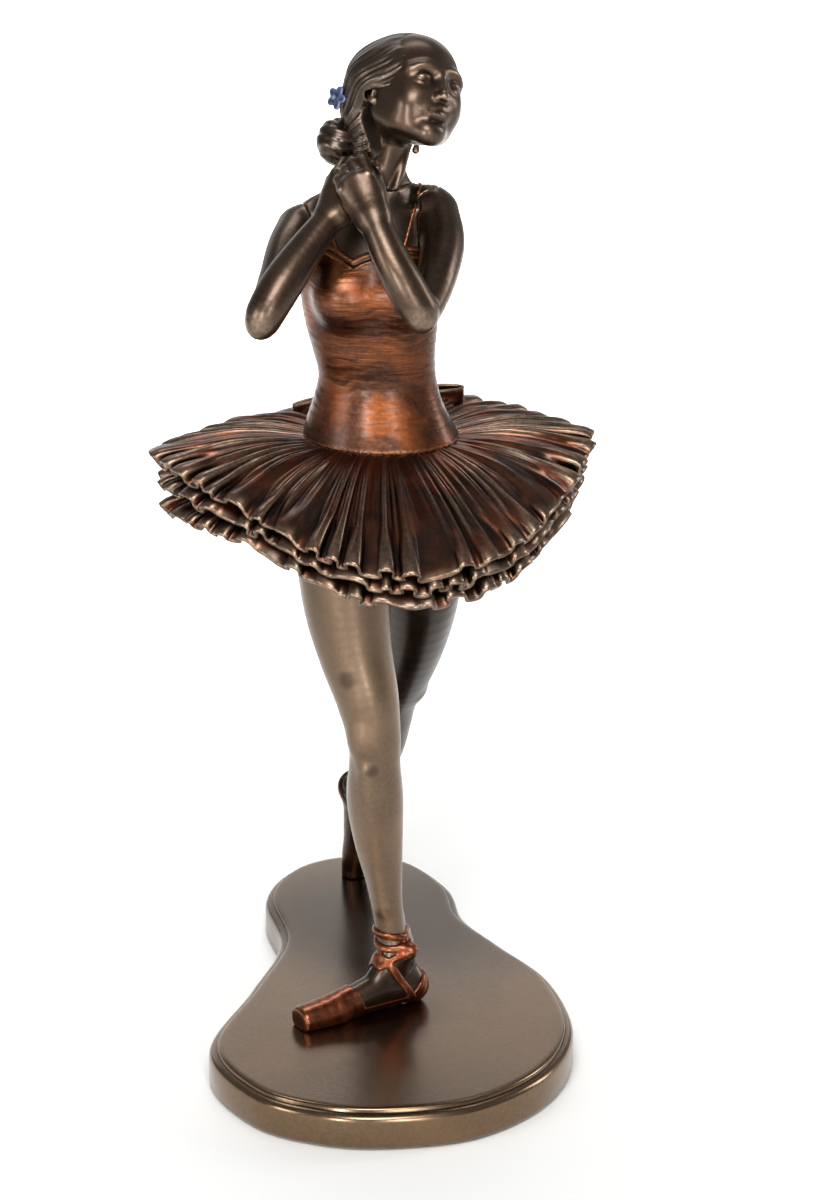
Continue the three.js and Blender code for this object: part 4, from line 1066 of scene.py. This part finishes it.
# hips under the skirt
hipClay = Clay((-26, -24, 146), (30, 22, 176), hipCell)
hipClay.add(trunk([
    (1.5, -2, 146, 22.5, 15, 17.5), (1.5, -2, 152, 23.4, 16, 18.5), (1.6, -2.4, 158, 24, 17, 19.5),
    (1.8, -2.8, 166, 22.6, 17, 18.8), (2, -3, seam, 21, 16.6, 17.5),
], (0, -1)))
x, y, z = hipClay.grid()
rise = 150 + 0.016 * (x - 1.5) ** 2
hipField = np.maximum(softMax(hipClay.field, rise - z, 1.0), z - seam + 0.2)
castPiece("hips", hipClay, hipField, slipperCopper, "costume_copper", proud=0.1)

# bow at the back of the waist
bow = {
    "centre": (2, 17.6, 177.4), "reach": 23.5, "width": 7, "depth": 1.5, "thickness": 0.8, "tail": 16,
    "knot": (3, 2.6, 3.4),
}


def bowLoop(sign):
    def place(u, v):
        out = np.sin(math.pi * u)
        reach = (bow["reach"] + 1.5 * sign) * out ** 0.8
        puff = bow["depth"] * np.sin(2 * math.pi * u) * 0.9
        width = 2.4 + (bow["width"] - 2.4) * out ** 0.9
        crease = 0.25 * np.cos(v * 8 + 2 * u) * (1 - out * 0.7)
        sag = (2.2 * sign - 3.6) * out ** 1.5
        return np.column_stack([
            bow["centre"][0] + sign * reach, bow["centre"][1] + 3 + puff + crease + 1.2 * out,
            bow["centre"][2] + 0.6 + (v - 0.5) * width + sag + 0.5 * np.sin(5 * u + sign),
        ])
    return place


def bowTail(sign):
    def place(u, v):
        width = 2.2 + 5 * u
        across = (v - 0.5) * width
        notch = 2.2 * abs(v - 0.5) * 2 * smoothStep(u, 0.7, 1)
        reach = bow["tail"] * u + notch * 0.6
        fall = bow["centre"][2] - 1.2 - 2.2 * smoothStep(u, 0, 0.4)
        return np.column_stack([
            bow["centre"][0] + sign * (1 + 0.55 * reach) + across * 0.8,
            bow["centre"][1] + 3 + 0.85 * reach,
            fall + 0.7 * np.sin(7 * u + sign) + 0.4 * np.cos(9 * v),
        ])
    return place


parts = [sheet("bow_part", 60, 16, bowLoop(s), bow["thickness"], wrap=False) for s in (-1, 1)]
parts += [sheet("bow_part", 40, 14, bowTail(s), bow["thickness"], wrap=False) for s in (-1, 1)]


def knotPlace(u, v):
    angle, tilt = 2 * math.pi * u, math.pi * v
    crease = 1 + 0.07 * np.cos(6 * angle)
    wide, deep, tall = bow["knot"]
    return np.column_stack([
        bow["centre"][0] + wide * np.sin(tilt) * np.cos(angle) * crease,
        bow["centre"][1] + 3 + deep * np.sin(tilt) * np.sin(angle) * crease,
        bow["centre"][2] + tall * np.cos(tilt),
    ])


parts.append(sheet("bow_part", 48, 24, knotPlace, 0))
bowPiece = join(parts, "back_bow_casting")
markWear(bowPiece, 0.12)
finishPiece(bowPiece, skirtCopper, "skirt_copper", "back_bow")


# plain finishes for the fixings, the felt and the floor
def plain(name, colour, metallic, roughness, scale, bumpSize):
    material = bpy.data.materials.new(name)
    material.use_nodes = True
    nodes, links = material.node_tree.nodes, material.node_tree.links
    shader = nodes["Principled BSDF"]
    coords = nodes.new("ShaderNodeTexCoord")
    noise = nodes.new("ShaderNodeTexNoise")
    noise.inputs["Scale"].default_value = scale
    noise.inputs["Detail"].default_value = 8
    links.new(coords.outputs["Object"], noise.inputs["Vector"])
    ramp = nodes.new("ShaderNodeValToRGB")
    ramp.color_ramp.elements[0].position, ramp.color_ramp.elements[1].position = 0.3, 0.7
    ramp.color_ramp.elements[0].color, ramp.color_ramp.elements[1].color = [linear(c) for c in colour]
    links.new(noise.outputs["Fac"], ramp.inputs["Fac"])
    links.new(ramp.outputs["Color"], shader.inputs["Base Color"])
    shader.inputs["Metallic"].default_value = metallic
    shader.inputs["Roughness"].default_value = roughness
    bump = nodes.new("ShaderNodeBump")
    bump.inputs["Strength"].default_value = 0.5
    bump.inputs["Distance"].default_value = bumpSize
    links.new(noise.outputs["Fac"], bump.inputs["Height"])
    links.new(bump.outputs["Normal"], shader.inputs["Normal"])
    return material


steel = plain("steel", ("8f9092", "b4b5b7"), 1.0, 0.34, 1500, 0.00003)
felt = plain("felt", ("18201b", "2c3730"), 0.0, 0.95, 2600, 0.0003)
for name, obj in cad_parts.items():
    isFixing = any(kind in name for kind in ("screw", "washer", "dowel"))
    material = felt if name == "felt_pad" else steel if isFixing else None
    if material is not None:
        for slot in obj.material_slots:
            slot.material = material

# floor, light and camera
bpy.ops.mesh.primitive_plane_add(size=12, location=(0, 0, cadBox[0][2]))
floor = bpy.context.object
floor.name = "floor"
floorPaint = plain("floor_paint", ("f6f6f4", "fafaf8"), 0.0, 0.9, 3, 0.00001)
floor.data.materials.append(floorPaint)


def softbox(name, place, target, size, power, spread=180):
    data = bpy.data.lights.new(name, "AREA")
    data.shape, data.size, data.size_y = "RECTANGLE", *size
    data.energy, data.spread = power, math.radians(spread)
    obj = bpy.data.objects.new(name, data)
    bpy.context.collection.objects.link(obj)
    obj.location = place
    obj.rotation_euler = (Vector(target) - Vector(place)).to_track_quat("-Z", "Y").to_euler()


softbox("low_key", (-0.8, -1.5, 0.2), (0, 0, 0.15), (0.1, 0.5), 10)
softbox("low_front", (0.22, -1.7, 0.3), (0, 0, 0.15), (0.12, 0.6), 7)
softbox("left_wash", (-1.3, -0.7, 0.35), (0, 0, 0.2), (0.4, 0.5), 5)
softbox("high_front", (-0.15, -1.2, 1.2), (0, 0, 0.1), (0.7, 0.6), 19)
softbox("rim", (1.2, 0.25, 0.5), (0, 0, 0.16), (0.25, 0.6), 4)
softbox("floor_light", (0, 1.05, 1.3), (0, 1.05, 0), (0.9, 1.0), 13, 80)
softbox("back_panel", (0, 2.6, 0.85), (0, 0, 0.2), (3.2, 1.1), 10)
worldLight = 0.26
world = bpy.data.worlds.new("studio")
bpy.context.scene.world = world
world.use_nodes = True
world.node_tree.nodes["Background"].inputs["Color"].default_value = (1, 1, 1, 1)
world.node_tree.nodes["Background"].inputs["Strength"].default_value = worldLight

turned, raised = math.radians(camera["turn"]), math.radians(camera["rise"])
back = Vector((math.sin(turned) * math.cos(raised), -math.cos(turned) * math.cos(raised), math.sin(raised)))
lens = bpy.data.cameras.new("camera")
lens.lens, lens.sensor_width, lens.clip_end = camera["lens"], camera["sensor"], 20
seer = bpy.data.objects.new("camera", lens)
bpy.context.collection.objects.link(seer)
seer.location = Vector(camera["aim"]) * mm + back * camera["distance"] * mm
seer.rotation_euler = (-back).to_track_quat("-Z", "Y").to_euler()
bpy.context.scene.camera = seer
bpy.context.scene.view_settings.view_transform = "Standard"
